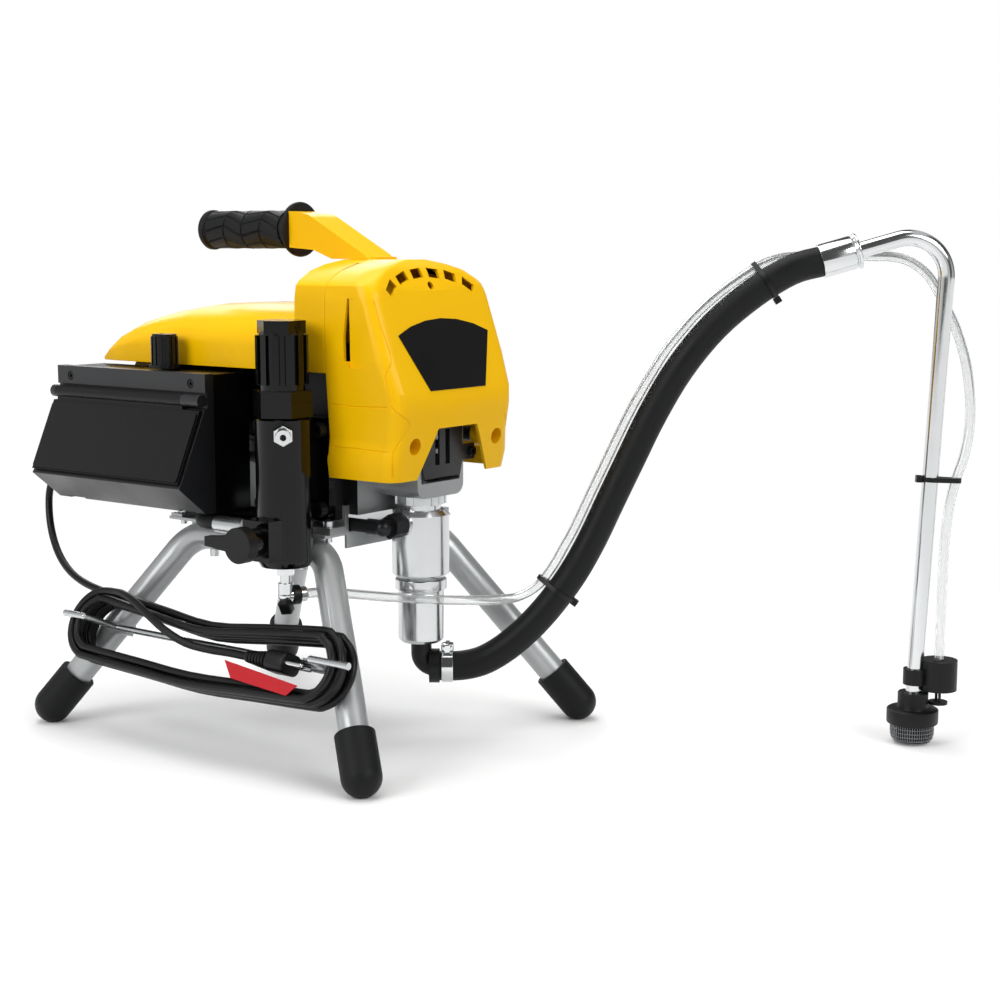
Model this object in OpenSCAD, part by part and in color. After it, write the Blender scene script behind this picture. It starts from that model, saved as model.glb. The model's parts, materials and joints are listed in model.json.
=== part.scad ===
// Airless paint sprayer on a four-legged stand, in millimetres.
// +Z is up, the pump faces -Y, the control box is on the -X side.
// The origin is on the floor, midway between the four feet.

/* [Stand] */
// Outside diameter of the stand tubes
tube_d = 25.4; // [22:0.1:28]
// Wall of the stand tubes
tube_wall = 2; // [1.2:0.1:3]
// Distance from the middle to each side rail
rail_x = 72; // [70:1:74]
// Height of the rails' centre line
rail_z = 177; // [172:1:182]
// Where the rail and leg centre lines would meet, from the middle
bend_y = 81; // [78:1:84]
// Centre line radius of the rail bends
bend_r = 40; // [30:1:50]
// Sideways distance from the middle to a foot
foot_x = 151; // [140:1:160]
// Distance from the middle to a foot, front and rear
foot_y = 190; // [180:1:200]
// Outside diameter of the rubber feet
boot_d = 34; // [31:0.5:38]
// Straight length of a rubber foot above its domed end
boot_len = 38; // [30:1:50]
// Depth of the worn flat under a foot
boot_flat = 1; // [0.5:0.1:2]
// Thickness of the base plate
plate_t = 2.5; // [2:0.1:3]
// Depth of the base plate's bent lips
lip_h = 14; // [8:1:18]
// Diameter of the cord rod
rod_d = 6; // [5:0.5:7]
// Height of the cord rod
rod_z = 86.5; // [84:0.5:90]

/* [Drive] */
// Height of the crank and motor axis
axis_z = 296; // [294:1:298]
// Distance from the middle forward to the pump axis
pump_y = 127; // [125:1:129]
// Outside diameter of the motor can
can_d = 120; // [114:1:122]
// Length of the motor can
can_len = 186; // [176:1:190]
// Throw of the crank
crank_throw = 11; // [9:0.5:11]
// Distance between the connecting rod's pins
rod_centres = 40; // [38:0.5:42]
// Gear module of both reduction stages
gear_m = 1.25; // [1.2:0.05:1.3]
// Teeth on the motor pinion
pinion_teeth = 12; // [10:1:14]
// Teeth on the first gear
first_teeth = 44; // [42:1:44]
// Teeth on the crank gear
crank_teeth = 42; // [40:1:42]

/* [Pump] */
// Outside diameter of the pump cylinder
cyl_d = 50; // [46:1:54]
// Bore of the pump cylinder
cyl_bore = 26; // [24:0.5:28]
// Diameter of the piston rod
piston_rod_d = 14; // [12:0.5:15]
// Outside diameter of the foot valve
foot_valve_d = 40; // [38:1:42]
// Length of the foot valve below its shoulder
foot_valve_len = 46; // [40:1:48]

/* [Filter] */
// Distance from the side flange to the filter axis
filter_off = 33; // [32:1:36]
// Distance from the middle forward to the filter axis
filter_y = 71; // [69:0.5:72]
// Outside diameter of the filter body at its top
filter_d = 47; // [45:0.5:48]
// Diameter of the ribbed filter cap
cap_d = 44; // [42:0.5:46]
// Length of the prime lever from its axis
lever_len = 40; // [34:1:44]

/* [Suction set] */
// Outside diameter of the suction hose
hose_d = 26; // [24:0.5:27]
// Outside diameter of the steel suction tube
suction_d = 14; // [13:0.5:15]
// Bore of the steel suction tube
suction_bore = 11; // [9:0.5:12]
// Outside diameter of the clear drain hose
drain_d = 8.5; // [7:0.5:9]
// Diameter of the strainer's rim
strainer_d = 45; // [42:1:48]

/* [Control box] */
// Distance from the middle to the box's outer face
box_x = 120; // [118:1:122]
// Front end of the box
box_y0 = 12; // [10:1:16]
// Rear end of the box
box_y1 = 206; // [196:1:206]
// Top of the box
box_z1 = 327; // [325:1:329]
// Wall of the box
box_wall = 3; // [2:0.5:4]
// How far the foot of the tool door stands out from the box
door_out = 34; // [30:1:36]
// Diameter of the door's hinge barrel
barrel_d = 11; // [9:0.5:12]
// Diameter of the hinge pin
hinge_pin_d = 4; // [3:0.5:5]
// Diameter of the pressure knob
knob_d = 24; // [22:0.5:26]
// Height of the pressure knob
knob_h = 31; // [26:1:34]

/* [Covers] */
// Wall of the covers
cover_wall = 3; // [2:0.25:4]
// Height of the front cover
cover_top = 424; // [423:0.5:426]
// Height of the lower edge of the cover's two towers
tower_z = 242; // [236:1:248]
// Height of the rear cover's crown
rear_top = 385; // [380:1:388]
// Lower edge of the rear cover
rear_low = 330; // [329:1:334]
// Rear end of the rear cover
rear_end = 197; // [190:1:200]

/* [Handle] */
// Height of the grip's axis above the front cover
grip_rise = 26; // [24:1:30]
// Diameter of the grip
grip_d = 34; // [30:1:38]
// Length of the grip behind its flange
grip_len = 117; // [110:1:125]
// Diameter of the grip's flange
flange_d = 49; // [44:1:52]

/* [Power cord] */
// Diameter of the power cord
cord_d = 7; // [6:0.25:7.25]
// Number of layers in the hank
hank_layers = 4; // [2:2:4]
// Inside radius of the hank's end turns, on the cord's centre line
hank_r = 21; // [20:0.5:24]
// Half the length of the hank, on the cord's centre line
hank_half = 161; // [158:1:163]

/* [Hidden] */
$fn = 48;

// Clearances
fit_gap = 0.02;       // pressed or screwed fits in one body
run_gap = 0.05;       // running shafts
free_gap = 0.3;       // between pieces that move past each other
seat_gap = 0.1;       // round pieces that rest on flat ones

// Colours
steel_grey = "#c3c6c9";
bright_steel = "#d9dcdf";
cast_grey = "#a9acae";
shell_yellow = "#ffc400";
plastic_black = "#1c1d1f";
rubber_black = "#141415";

// Stand
boot_r = boot_d / 2;
boot_z = boot_r - boot_flat;
leg_drop = rail_z - boot_z;
leg_out = foot_x - rail_x;
leg_tilt = atan(leg_out / leg_drop);
leg_slope = sqrt(leg_drop * leg_drop + leg_out * leg_out);
leg_turn = atan(leg_slope / (foot_y - bend_y));
leg_reach = bend_r * tan(leg_turn / 2);
leg_run = sqrt(leg_slope * leg_slope + (foot_y - bend_y) * (foot_y - bend_y));
boot_hole = 8;
plate_z = rail_z + tube_d / 2 + seat_gap;
deck_z = plate_z + plate_t;
plate_half = 84.5;
plate_y0 = -92;
plate_y1 = 100;
seam_in = 0.2;
rail_bolt_y = 55;
rail_bolt_d = 8;

// Cord rod, measured square to the tilted legs
lug_t = 2;
rod_off = tube_d / 2 + 0.3 + rod_d / 2 + seat_gap;
rod_step_y0 = -131;
rod_step_y1 = 122;
rod_end_y0 = -184;
rod_end_y1 = 160;
rod_run = 12;

// Bolts, screws and the gearbox feet
screw_d = 4.5;
deck_bolt_d = 6;
foot_t = 6;
gearbox_bolt_y = -85;
bracket_bolt = [-75, 91];
bracket_spans = [[49, 63], [84, 98]];
bracket_t = 3;
cradle_spans = [[0, 16], [58, 74]];
stem_y = -74;
stem_half = 13;

// Drive
pump_at = -pump_y;
nose_half = 31;
nose_wall = 5;
nose_front = pump_at - 23;
nose_low = 222;
nose_floor = 13;
nose_top = 331;
wall_front = -104;
wall_back = -44;
wall_t = 6;
gearbox_half = 56;
gearbox_low = 208;
gearbox_top = 354;
can_front = wall_back + 8;
can_back = can_front + can_len;
can_wall = 4;
shaft_d = 12;
crank_shaft_d = 16;
lay_d = 8;
second_teeth = first_teeth + pinion_teeth - crank_teeth;
gear_gap = gear_m * (first_teeth + pinion_teeth) / 2;
lay_z = axis_z - gear_gap;
gear_backlash = 0.2;
pin_d = 12;
pin_z = axis_z + crank_throw;
wrist_z = pin_z - rod_centres;
wrist_d = 8;
rod_front = pump_at - 19;
rod_t = 11;
boss_r = 9;
post_x = 55;
post_z = 271;
post_front = -146;
ear_x = 38;
ear_z = 258;

// Side mounting of the filter
pad_x = can_d / 2 + 10;
pad_y0 = -91.5;
pad_y1 = -8;
pad_z0 = 204;
pad_z1 = 292;
pad_bolts = [[-84, 214], [-84, 282], [-17, 214], [-17, 282]];
flange_t = 8;
filter_x = pad_x + flange_t + filter_off;

// Pump heights
cyl_low = 148;
cyl_top = 209;
neck_d = 35;
neck_top = nose_low + nose_floor - 2;
shoulder_h = 9;
valve_low = cyl_low - shoulder_h - foot_valve_len - 1;
inlet_z = 69.5;
elbow_r = 12;
stroke = 2 * crank_throw;

// Filter heights
filter_low = 169;
filter_top = 295;
prime_z = 193;
prime_out = 11;
nipple_z = 282;
nipple_turn = 224;
nipple_len = 12;
nipple_d = 12.7;

// Connecting hose
link_d = 11.5;
link_z = deck_z + link_d / 2 + free_gap;
link_x0 = 50;
link_x1 = 118;
link_back = 8;
link_hose_end = 2;
link_port_y = -39;
link_turn_r = (link_x1 - link_x0) / 2;
sleeve_len = 34;

// Suction set: points are [along, above the floor] in the upright plane through the pump axis
plane_turn = -52.7;
tube_bend = [417.6, 409.4];
tube_bend_r = 33;
tube_head = 16;
tube_lean = 2.6;
hose_points = [[16, 0, 69.5], [34, 0, 69.5], [52.5, 0, 73.5], [70, 0, 83], [87, 0, 96.5],
  [103, 0, 112.5], [118.6, 0, 131.5], [134.5, 0, 154.5], [149.8, 0, 182.6], [165.3, 0, 216.3],
  [182.2, 0, 252.4], [201, 0, 291.8], [224.2, 0, 331.6], [253, 0, 367.3], [286, 0, 395.5]];
sleeve_from = 68.5;
sleeve_run = 34.5;
tube_from = 50;
tube_end_z = 38;
drain_turn = 30;
drain_z = 143;
drain_reach = 18;
drain_points = [[-82, -37.4, 142.5], [-67, -33, 141], [-48, -31.5, 139], [-24, -31, 137],
  [2, -31, 135.5], [28, -29, 134], [50, -23, 132.5], [68, -14, 131.5], [84, -6.5, 132], [95, -2, 136],
  [104, 0, 142.5], [112, 0, 153], [119, 0, 164], [126, 0, 177], [133.5, 0, 190.7], [148.8, 0, 224],
  [165.7, 0, 260.2], [184.9, 0, 300.3], [209.2, 0.5, 341.9], [224, 1, 361.5], [240, 2, 379.6],
  [258.5, 3, 396.1], [274.5, 5, 407.5], [289, 8, 416.7], [301.5, 12, 422.3], [314.4, 15.5, 425.6],
  [328, 18, 426.5], [342, 19.4, 426], [359.3, 19.8, 426.2], [377.2, 19, 427], [394, 15.8, 426.8],
  [407, 14.2, 426.4], [419, 14, 423.6], [430, 14, 417.6], [439.5, 14, 408.8], [447, 13.6, 397.4],
  [454, 13, 384], [461, 12, 370], [467, 10.5, 354], [472, 8.5, 336], [475, 6, 316], [476.2, 3.5, 296],
  [475, 1.5, 275], [471, 0, 254], [465, 0, 235], [460.2, 0, 212], [457.8, 0, 190], [456.8, 0, 165],
  [456.3, 0, 137], [456, 0, 108], [456, 0, 90], [456, 0, 75]];
strainer_at = 434;
clip_z0 = 53;
clip_h = 14;
cup_at = 456;
cup_d = 32;
cup_low = 48;
cup_h = 27;
sleeve_d = 29;
tie_low = [121.5, 135.8];
tie_mid = [298, 403];
tie_high = [442.7, 235];

// Control box
seam_x = -110;
back_x = -66;
box_z0 = 206;
hinge_at = [-box_x - 4, 304];
door_foot = [-box_x - door_out, 235];
door_t = 3;
bezel_screws = [box_y0 + 18, box_y1 - 18];
knob_at = [-95, 89];
switch_at = [-88, 280];
relief_at = [-92, 230];
relief_len = 20;
rocker_tilt = -9;

// Power cord: the lead from the box to the hank
hank_pitch = cord_d + 0.6;
hank_turns = 1.5;
hank_mid = -5;
hank_sag = -4.5;
hank_waist = 9;
hank_droop = 3.5;
hank_low = 6;
hank_off = (tube_d + cord_d) / 2 + 0.4;
hank_rings = 24;
hank_climb = 4;
// The lead from the box to the hank, in the tilted plane of the legs
lead_mid = [[-40.6, 236.6, 36.6], [-38.4, 246.3, 30.6], [-35.2, 252.6, 21.7], [-31.6, 255, 11.2],
  [-28, 253.6, -1], [-24.8, 248.6, -14.9], [-22.4, 240, -28.8], [-20.9, 228, -41.9],
  [-20.2, 213, -52.9], [-19.9, 196, -61.2], [-19.5, 178, -66.6], [-18.8, 160, -69.8],
  [-17.8, 145, -71.4]];
// The cord's tail from the hank to the plug: outwards, along, up from the hank's centre
tail_mid = [[-41, 110, 31.8], [-43.7, 98, 31], [-47, 78, 26], [-47.3, 54, 16], [-46, 30, 6],
  [-41, 6, -1], [-36, -18, -2], [-33, -40, -1]];
plug_at = [-32, -62, -1];

// Covers
seam_y = -92;
mid_back = -57;
corner_steps = 5;
notch_half = 26;
notch_top = 284;

// Half width and front face of the front cover at each height
cover_half = [[242, 78], [257, 80], [276, 77], [300, 79], [343, 82], [391, 81], [403, 79],
  [407, 75], [415, 61], [422, 36], [425, 14]];
cover_face = [[236, 162], [271, 168], [300, 171], [315, 170], [398, 142.3], [409, 136],
  [417, 132], [421, 128], [425, 122]];
cover_levels = [tower_z, 257, 276, 300, 315, 343, 370, 391, 398, 403, 407, 415, 420, cover_top];
mid_levels = [rear_low, 343, 391, 403, 407, 415, 420];
// Vents under the brow: across, up from the top, turn
brow_vents = [[-52, -23, -38], [-33, -15, -18], [-12, -11.5, -6], [10, -11.5, 6],
  [31, -14.5, 16], [51, -22, 34]];

// Rear cover: how far its crown drops at each station, and the arch of one ring
rear_stations = [[mid_back + 0.05, 0], [40, 0], [90, 2], [130, 8], [160, 16], [180, 26],
  [190, 36], [rear_end, 48]];
rear_arch = [[78, 0], [78, 0.36], [75, 0.55], [68, 0.75], [54, 0.9], [34, 0.97], [12, 1]];
grip_front = 9;
grip_z = cover_top + grip_rise;

// ---------------------------------------------------------------- helpers

function unit(v) = v / norm(v);
function mix(a, b, f) = a + (b - a) * f;

// A smooth curve through hand-chosen points, with steps points to each span
function spline_at(p, i, f) =
  let (a = p[max(i - 1, 0)], b = p[i], c = p[i + 1], d = p[min(i + 2, len(p) - 1)])
  0.5 * ((2 * b) + (c - a) * f + (2 * a - 5 * b + 4 * c - d) * f * f
  + (3 * b - a - 3 * c + d) * f * f * f);
function spline(p, steps) = concat(
  [for (i = [0:len(p) - 2]) for (k = [0:steps - 1]) spline_at(p, i, k / steps)],
  [p[len(p) - 1]]);

function tangents(p) = [for (i = [0:len(p) - 1])
  unit(p[min(i + 1, len(p) - 1)] - p[max(i - 1, 0)])];
function normals(t, first) = [for (i = 0, n = unit(first - (first * t[0]) * t[0]);
  i < len(t);
  n = i + 1 < len(t) ? unit(n - (n * t[i + 1]) * t[i + 1]) : n, i = i + 1) n];

// A round tube swept along points, as one closed mesh of triangles
module sweep(points, d, sides, side) {
  t = tangents(points);
  n = normals(t, side);
  rings = [for (i = [0:len(points) - 1]) for (k = [0:sides - 1])
    points[i] + d / 2 * (n[i] * cos(360 * k / sides)
    + cross(t[i], n[i]) * sin(360 * k / sides))];
  last = len(points) - 1;
  walls = [for (i = [0:last - 1]) for (k = [0:sides - 1])
    let (a = i * sides + k, b = i * sides + (k + 1) % sides)
    each [[a, a + sides, b], [b, a + sides, b + sides]]];
  ends = [for (k = [1:sides - 2])
    each [[0, k, k + 1], [last * sides, last * sides + k + 1, last * sides + k]]];
  polyhedron(rings, concat(walls, ends), convexity = 6);
}

// A closed mesh through rings of equal length, the first and last ring capped
module loft(rings) {
  count = len(rings[0]);
  last = len(rings) - 1;
  walls = [for (i = [0:last - 1]) for (k = [0:count - 1])
    let (a = i * count + k, b = i * count + (k + 1) % count)
    each [[a, a + count, b], [b, a + count, b + count]]];
  low = [[for (k = [0:count - 1]) k]];
  high = [[for (k = [count - 1:-1:0]) last * count + k]];
  polyhedron([for (r = rings) each r], concat(walls, low, high), convexity = 6);
}

module rounded(w, h, r) {
  square([w - 2 * r, h], center = true);
  square([w, h - 2 * r], center = true);
  for (sx = [-1, 1])
    for (sy = [-1, 1])
      translate([sx * (w / 2 - r), sy * (h / 2 - r)])
        circle(r);
}

module both_sides() {
  children();
  mirror([1, 0, 0])
    children();
}

module both_ends() {
  children();
  mirror([0, 1, 0])
    children();
}

module block(x0, x1, y0, y1, z0, z1) {
  translate([x0, y0, z0])
    cube([x1 - x0, y1 - y0, z1 - z0]);
}

module up_cyl(x, y, z0, z1, d) {
  translate([x, y, z0])
    cylinder(h = z1 - z0, d = d);
}

module x_cyl(y, z, x0, x1, d) {
  translate([x0, y, z])
    rotate([0, 90, 0])
      cylinder(h = x1 - x0, d = d);
}

module y_cyl(x, z, y0, y1, d) {
  translate([x, y1, z])
    rotate([90, 0, 0])
      cylinder(h = y1 - y0, d = d);
}

// A flat shape in the X-Z plane, given thickness along Y
module plate_xz(y0, y1) {
  translate([0, y1, 0])
    rotate([90, 0, 0])
      linear_extrude(y1 - y0)
        children();
}

module hex(across, h) {
  cylinder(h = h, d = across / cos(30), $fn = 6);
}

module bar(a, b, d) {
  v = b - a;
  translate(a)
    rotate([0, acos(v[2] / norm(v)), atan2(v[1], v[0])])
      cylinder(h = norm(v), d = d);
}

// Socket or pan headed screw pointing down, its seat at z = 0
module screw(d, l, head_d, head_h) {
  translate([0, 0, -l])
    cylinder(h = l, d = d);
  difference() {
    cylinder(h = head_h, d = head_d);
    translate([0, 0, head_h * 0.45])
      cylinder(h = head_h, d = head_d * 0.5, $fn = 6);
  }
}

// Involute spur gear outline, with a tooth centred on +X
function involute(a) = tan(a) * 180 / PI - a;
function half_tooth(m, teeth, r) =
  let (rb = m * teeth / 2 * cos(20), a = r > rb ? acos(rb / r) : 0)
  90 / teeth + involute(20) - involute(a) - gear_backlash / (m * teeth) * 180 / PI;
function gear_outline(m, teeth) =
  let (pitch = m * teeth / 2, root = pitch - 1.25 * m, tip = pitch + 0.8 * m,
    base = max(pitch * cos(20), root + 0.2),
    radii = [root, base, mix(base, tip, 0.5), tip])
  [for (k = [0:teeth - 1]) each concat(
    [for (i = [0:3]) let (a = k * 360 / teeth - half_tooth(m, teeth, radii[i]))
      radii[i] * [cos(a), sin(a)]],
    [for (i = [3:-1:0]) let (a = k * 360 / teeth + half_tooth(m, teeth, radii[i]))
      radii[i] * [cos(a), sin(a)]])];

// A gear on an axis along Y, a tooth (or, with gap, a space) facing the angle given
module y_gear(z, y0, y1, teeth, facing, gap, bore) {
  translate([0, y1, z])
    rotate([90, 0, 0])
      linear_extrude(y1 - y0)
        rotate(facing + (gap ? 180 / teeth : 0))
          difference() {
            polygon(gear_outline(gear_m, teeth));
            if (bore > 0)
              circle(d = bore);
          }
}

// The upright plane of the suction set: local X runs along it, local Z is up
module in_plane() {
  translate([0, pump_at, 0])
    rotate([0, 0, plane_turn])
      children();
}

module plane_cyl(u, z, head, l, d) {
  translate([u, 0, z])
    rotate([0, 90 - head, 0])
      cylinder(h = l, d = d);
}

module plane_arc(at, r, a0, a1, d) {
  translate([at[0], 0, at[1]])
    rotate([90, 0, 0])
      rotate([0, 0, a0])
        rotate_extrude(angle = a1 - a0)
          translate([r, 0])
            circle(d = d);
}

// ---------------------------------------------------------------- stand

// A narrow ring where a straight tube meets a bend; the straights stop short inside it
module seam(d) {
  translate([0, 0, -0.5])
    cylinder(h = 1, d = d + 0.1);
}

// One side of the stand in its own tilted plane: a rail along Y and two legs
module side_frame(d, past) {
  straight = bend_y - leg_reach;
  y_cyl(0, 0, seam_in - straight, straight - seam_in, d);
  both_ends()
    translate([0, straight, -bend_r])
      rotate([0, -90, 0])
        leg_bend(d, past);
}

// From the rail's end: the bend, then the leg; local x is up, local y runs outwards
module leg_bend(d, past) {
  for (a = [0, leg_turn])
    rotate([0, 0, a])
      translate([bend_r, 0, 0])
        rotate([-90, 0, 0])
          seam(d);
  rotate_extrude(angle = leg_turn)
    translate([bend_r, 0])
      circle(d = d);
  rotate([0, 0, leg_turn])
    translate([bend_r, seam_in, 0])
      rotate([-90, 0, 0])
        cylinder(h = leg_run - leg_reach - boot_hole - seam_in + past, d = d);
}

module stand_side() {
  difference() {
    translate([rail_x, 0, rail_z])
      rotate([0, -leg_tilt, 0])
        difference() {
          side_frame(tube_d, 0);
          side_frame(tube_d - 2 * tube_wall, 1);
        }
    for (y = [-rail_bolt_y, rail_bolt_y])
      up_cyl(rail_x, y, rail_z - tube_d, rail_z + tube_d, rail_bolt_d + 0.4);
  }
}

// The left side carries two welded lugs for the cord rod
module stand_left() {
  z = -(rail_z - rod_z) / cos(leg_tilt);
  color(steel_grey) {
    mirror([1, 0, 0])
      stand_side();
    leg_plane()
      both_ends()
        block(0.3 - tube_d / 2 - 0.6, lug_t - tube_d / 2 - 0.3, 104, 146, z - 5, z + 5);
  }
}

module stand_right() {
  color(steel_grey) stand_side();
}

module boot() {
  difference() {
    rotate([0, -leg_tilt, 0])
      rotate([90 - leg_turn, 0, 0])
        difference() {
          union() {
            sphere(d = boot_d);
            cylinder(h = boot_len, d = boot_d);
          }
          translate([0, 0, boot_hole - free_gap])
            cylinder(h = boot_len, d = tube_d + 0.2);
        }
    translate([-boot_d, -boot_d, -boot_z - boot_d])
      cube([2 * boot_d, 2 * boot_d, boot_d]);
  }
}

module rubber_feet() {
  color(rubber_black)
    both_sides()
      both_ends()
        translate([foot_x, foot_y, boot_z])
          boot();
}

module base_plate() {
  lip_half = rail_x - tube_d / 2 - 2.3;
  color(steel_grey)
    difference() {
      union() {
        block(-plate_half, plate_half, plate_y0, plate_y1, plate_z, deck_z);
        for (y = [plate_y0, plate_y1 - plate_t])
          block(-lip_half, lip_half, y, y + plate_t, deck_z - lip_h, deck_z);
      }
      both_sides() {
        for (y = [-rail_bolt_y, rail_bolt_y])
          up_cyl(rail_x, y, plate_z - 1, deck_z + 1, rail_bolt_d + 0.4);
        up_cyl(rail_x, gearbox_bolt_y, plate_z - 1, deck_z + 1, deck_bolt_d + 0.4);
      }
      up_cyl(bracket_bolt[0], bracket_bolt[1], plate_z - 1, deck_z + 1, deck_bolt_d + 0.4);
    }
}

// Bolts through the rails, and bolts that hold the gearbox and the brackets to the plate
module rail_bolt(x, y, raise) {
  translate([x, y, deck_z + raise])
    screw(rail_bolt_d, tube_d + plate_t + raise + 6, 11.6, 5);
}

module frame_bolts() {
  color(bright_steel) {
    both_sides() {
      rail_bolt(rail_x, -rail_bolt_y, foot_t);
      translate([rail_x, gearbox_bolt_y, deck_z + foot_t])
        screw(deck_bolt_d, foot_t + plate_t + 4.8, 10, 5);
    }
    rail_bolt(rail_x, rail_bolt_y, 0);
    rail_bolt(-rail_x, rail_bolt_y, bracket_t);
    translate([bracket_bolt[0], bracket_bolt[1], deck_z + bracket_t])
      screw(deck_bolt_d, bracket_t + plate_t + 4.8, 10, 4);
  }
}

module leg_plane() {
  translate([-rail_x, 0, rail_z])
    rotate([0, leg_tilt, 0])
      children();
}

// The cord rod lies on the lugs; its ends step outwards through the hank
module cord_rod() {
  z = -(rail_z - rod_z) / cos(leg_tilt);
  x0 = -rod_off;
  x1 = -hank_off - (hank_layers - 1) * hank_pitch - (cord_d + rod_d) / 2 - 0.4;
  path = [[x1, rod_end_y0, z], [x1, rod_step_y0 - rod_run, z], [x0, rod_step_y0, z],
    [x0, rod_step_y1, z], [x1, rod_step_y1 + rod_run, z], [x1, rod_end_y1, z]];
  color(bright_steel)
    leg_plane() {
      for (i = [0:4])
        bar(path[i], path[i + 1], rod_d);
      for (i = [1:4])
        translate(path[i])
          rotate([90, 0, 0])
            sphere(d = rod_d + 0.2);
    }
}

// ---------------------------------------------------------------- drive

module nose_shape(grow) {
  translate([0, (nose_low + nose_top) / 2])
    rounded(2 * nose_half + grow, nose_top - nose_low + grow, 10);
}

module drive_housing() {
  color(cast_grey)
    difference() {
      union() {
        block(-gearbox_half, gearbox_half, wall_front, wall_back, gearbox_low, gearbox_top);
        both_sides() {
          block(gearbox_half + 0.5, gearbox_half + 24, wall_front + 10, wall_back - 2, deck_z,
            deck_z + foot_t);
          block(gearbox_half + 0.5, gearbox_half + 5, wall_front + 10, wall_back - 6,
            deck_z, gearbox_low + 8);
          block(gearbox_half - 1, gearbox_half + 5, wall_front + 10, wall_back - 6,
            gearbox_low, gearbox_low + 8);
          y_cyl(post_x, post_z, post_front, wall_front + 1, 13);
          y_cyl(ear_x, ear_z, nose_front, nose_front + 8, 11);
          block(nose_half - 2, ear_x, nose_front, nose_front + 8, ear_z - 5.5, ear_z + 5.5);
        }
        plate_xz(nose_front, wall_front + 1)
          nose_shape(0);
        block(-pad_x, -gearbox_half + 1, pad_y0, wall_back, pad_z0, pad_z1);
        block(-pad_x, -can_d / 2 - 3, pad_y0, pad_y1, pad_z0, pad_z1);
        y_cyl(0, axis_z, wall_front, wall_front + 13, 42);
        y_cyl(0, lay_z, wall_front, wall_front + 10, 27);
      }
      // gear cavity, open to the motor
      difference() {
        block(-gearbox_half + wall_t, gearbox_half - wall_t, wall_front + wall_t,
          wall_back + 1, gearbox_low + wall_t, gearbox_top - wall_t);
        y_cyl(0, axis_z, wall_front, wall_front + 13, 42);
        y_cyl(0, lay_z, wall_front, wall_front + 10, 27);
      }
      // crank cavity, open at the front
      block(-nose_half + nose_wall, nose_half - nose_wall, nose_front - 1, wall_front - 0.01,
        nose_low + nose_floor, nose_top - nose_wall - 1);
      y_cyl(0, axis_z, wall_front - 1, wall_front + 4, 24);
      y_cyl(0, axis_z, wall_front + 4, wall_front + 14, 32 + 2 * fit_gap);
      y_cyl(0, lay_z, wall_front + 4, wall_front + 14, 19 + 2 * fit_gap);
      up_cyl(0, pump_at, nose_low - 1, nose_low + nose_floor + 1, neck_d + 2 * fit_gap);
      for (sx = [-1, 1]) {
        y_cyl(sx * post_x, post_z, post_front - 1, post_front + 16, screw_d + 0.1);
        y_cyl(sx * ear_x, ear_z, nose_front - 1, nose_front + 9, screw_d + 0.1);
        up_cyl(sx * 20, stem_y, gearbox_top - wall_t - 1, gearbox_top + 1, 8.1);
      }
      both_sides() {
        up_cyl(rail_x, gearbox_bolt_y, deck_z - 1, deck_z + foot_t + 1, deck_bolt_d + 0.4);
        up_cyl(rail_x, -rail_bolt_y, deck_z - 1, deck_z + foot_t + 1, rail_bolt_d + 0.4);
      }
      for (p = pad_bolts)
        x_cyl(p[0], p[1], -pad_x - 1, -can_d / 2 - 2.9, 8.1);
    }
}

module motor_can() {
  color(plastic_black)
    difference() {
      union() {
        y_cyl(0, axis_z, can_front, can_back, can_d);
        plate_xz(wall_back, can_front)
          translate([0, axis_z])
            rounded(2 * gearbox_half, 2 * (gearbox_top - axis_z), 14);
      }
      y_cyl(0, axis_z, can_front, can_back + 1, can_d - 2 * can_wall);
      y_cyl(0, axis_z, wall_back - 1, can_front + 1, shaft_d + 4);
      y_cyl(0, axis_z, wall_back + 1, can_front + 1, 28 + 2 * fit_gap);
      y_cyl(0, lay_z, wall_back - 1, wall_back + 6, 19 + 2 * fit_gap);
    }
}

// Rear end bell with ventilation slots, and the ring round the fan
module motor_end() {
  color(cast_grey)
    difference() {
      union() {
        y_cyl(0, axis_z, can_back - 8, can_back + 4, can_d - 2 * can_wall - 2 * fit_gap);
        ring_y(axis_z, can_back + 0.05, can_back + 30, can_d - 4, can_d - 12);
      }
      y_cyl(0, axis_z, can_back - 9, can_back + 5, shaft_d + 4);
      y_cyl(0, axis_z, can_back - 4, can_back + 5, 28 + 2 * fit_gap);
      for (a = [0:45:315])
        translate([0, 0, axis_z])
          rotate([0, a + 22.5, 0])
            block(24, 46, can_back - 9, can_back + 5, -6, 6);
    }
}

// The motor's two cradles and the two steel brackets that carry the control box
module support_brackets() {
  color(steel_grey) {
    difference() {
      for (span = cradle_spans)
        block(-34, 34, span[0], span[1], deck_z, axis_z - can_d / 4);
      y_cyl(0, axis_z, -10, can_back, can_d + 2 * seat_gap);
    }
    difference() {
      for (span = bracket_spans) {
        block(back_x, back_x + bracket_t, span[0], span[1], deck_z, 290);
        block(back_x - 18, back_x + 1, span[0], span[1], deck_z, deck_z + bracket_t);
      }
      up_cyl(bracket_bolt[0], bracket_bolt[1], deck_z - 1, deck_z + 4, deck_bolt_d + 0.4);
      up_cyl(-rail_x, rail_bolt_y, deck_z - 1, deck_z + 4, rail_bolt_d + 0.4);
    }
  }
}

module motor_shaft() {
  color(bright_steel) {
    y_cyl(0, axis_z, wall_back - 8, can_back + 26, shaft_d - 2 * run_gap);
    y_cyl(0, axis_z, wall_back - 14.5, wall_back - 7.5, 11);
    y_gear(axis_z, wall_back - 26, wall_back - 14, pinion_teeth, -90, false, 0);
  }
}

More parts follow.
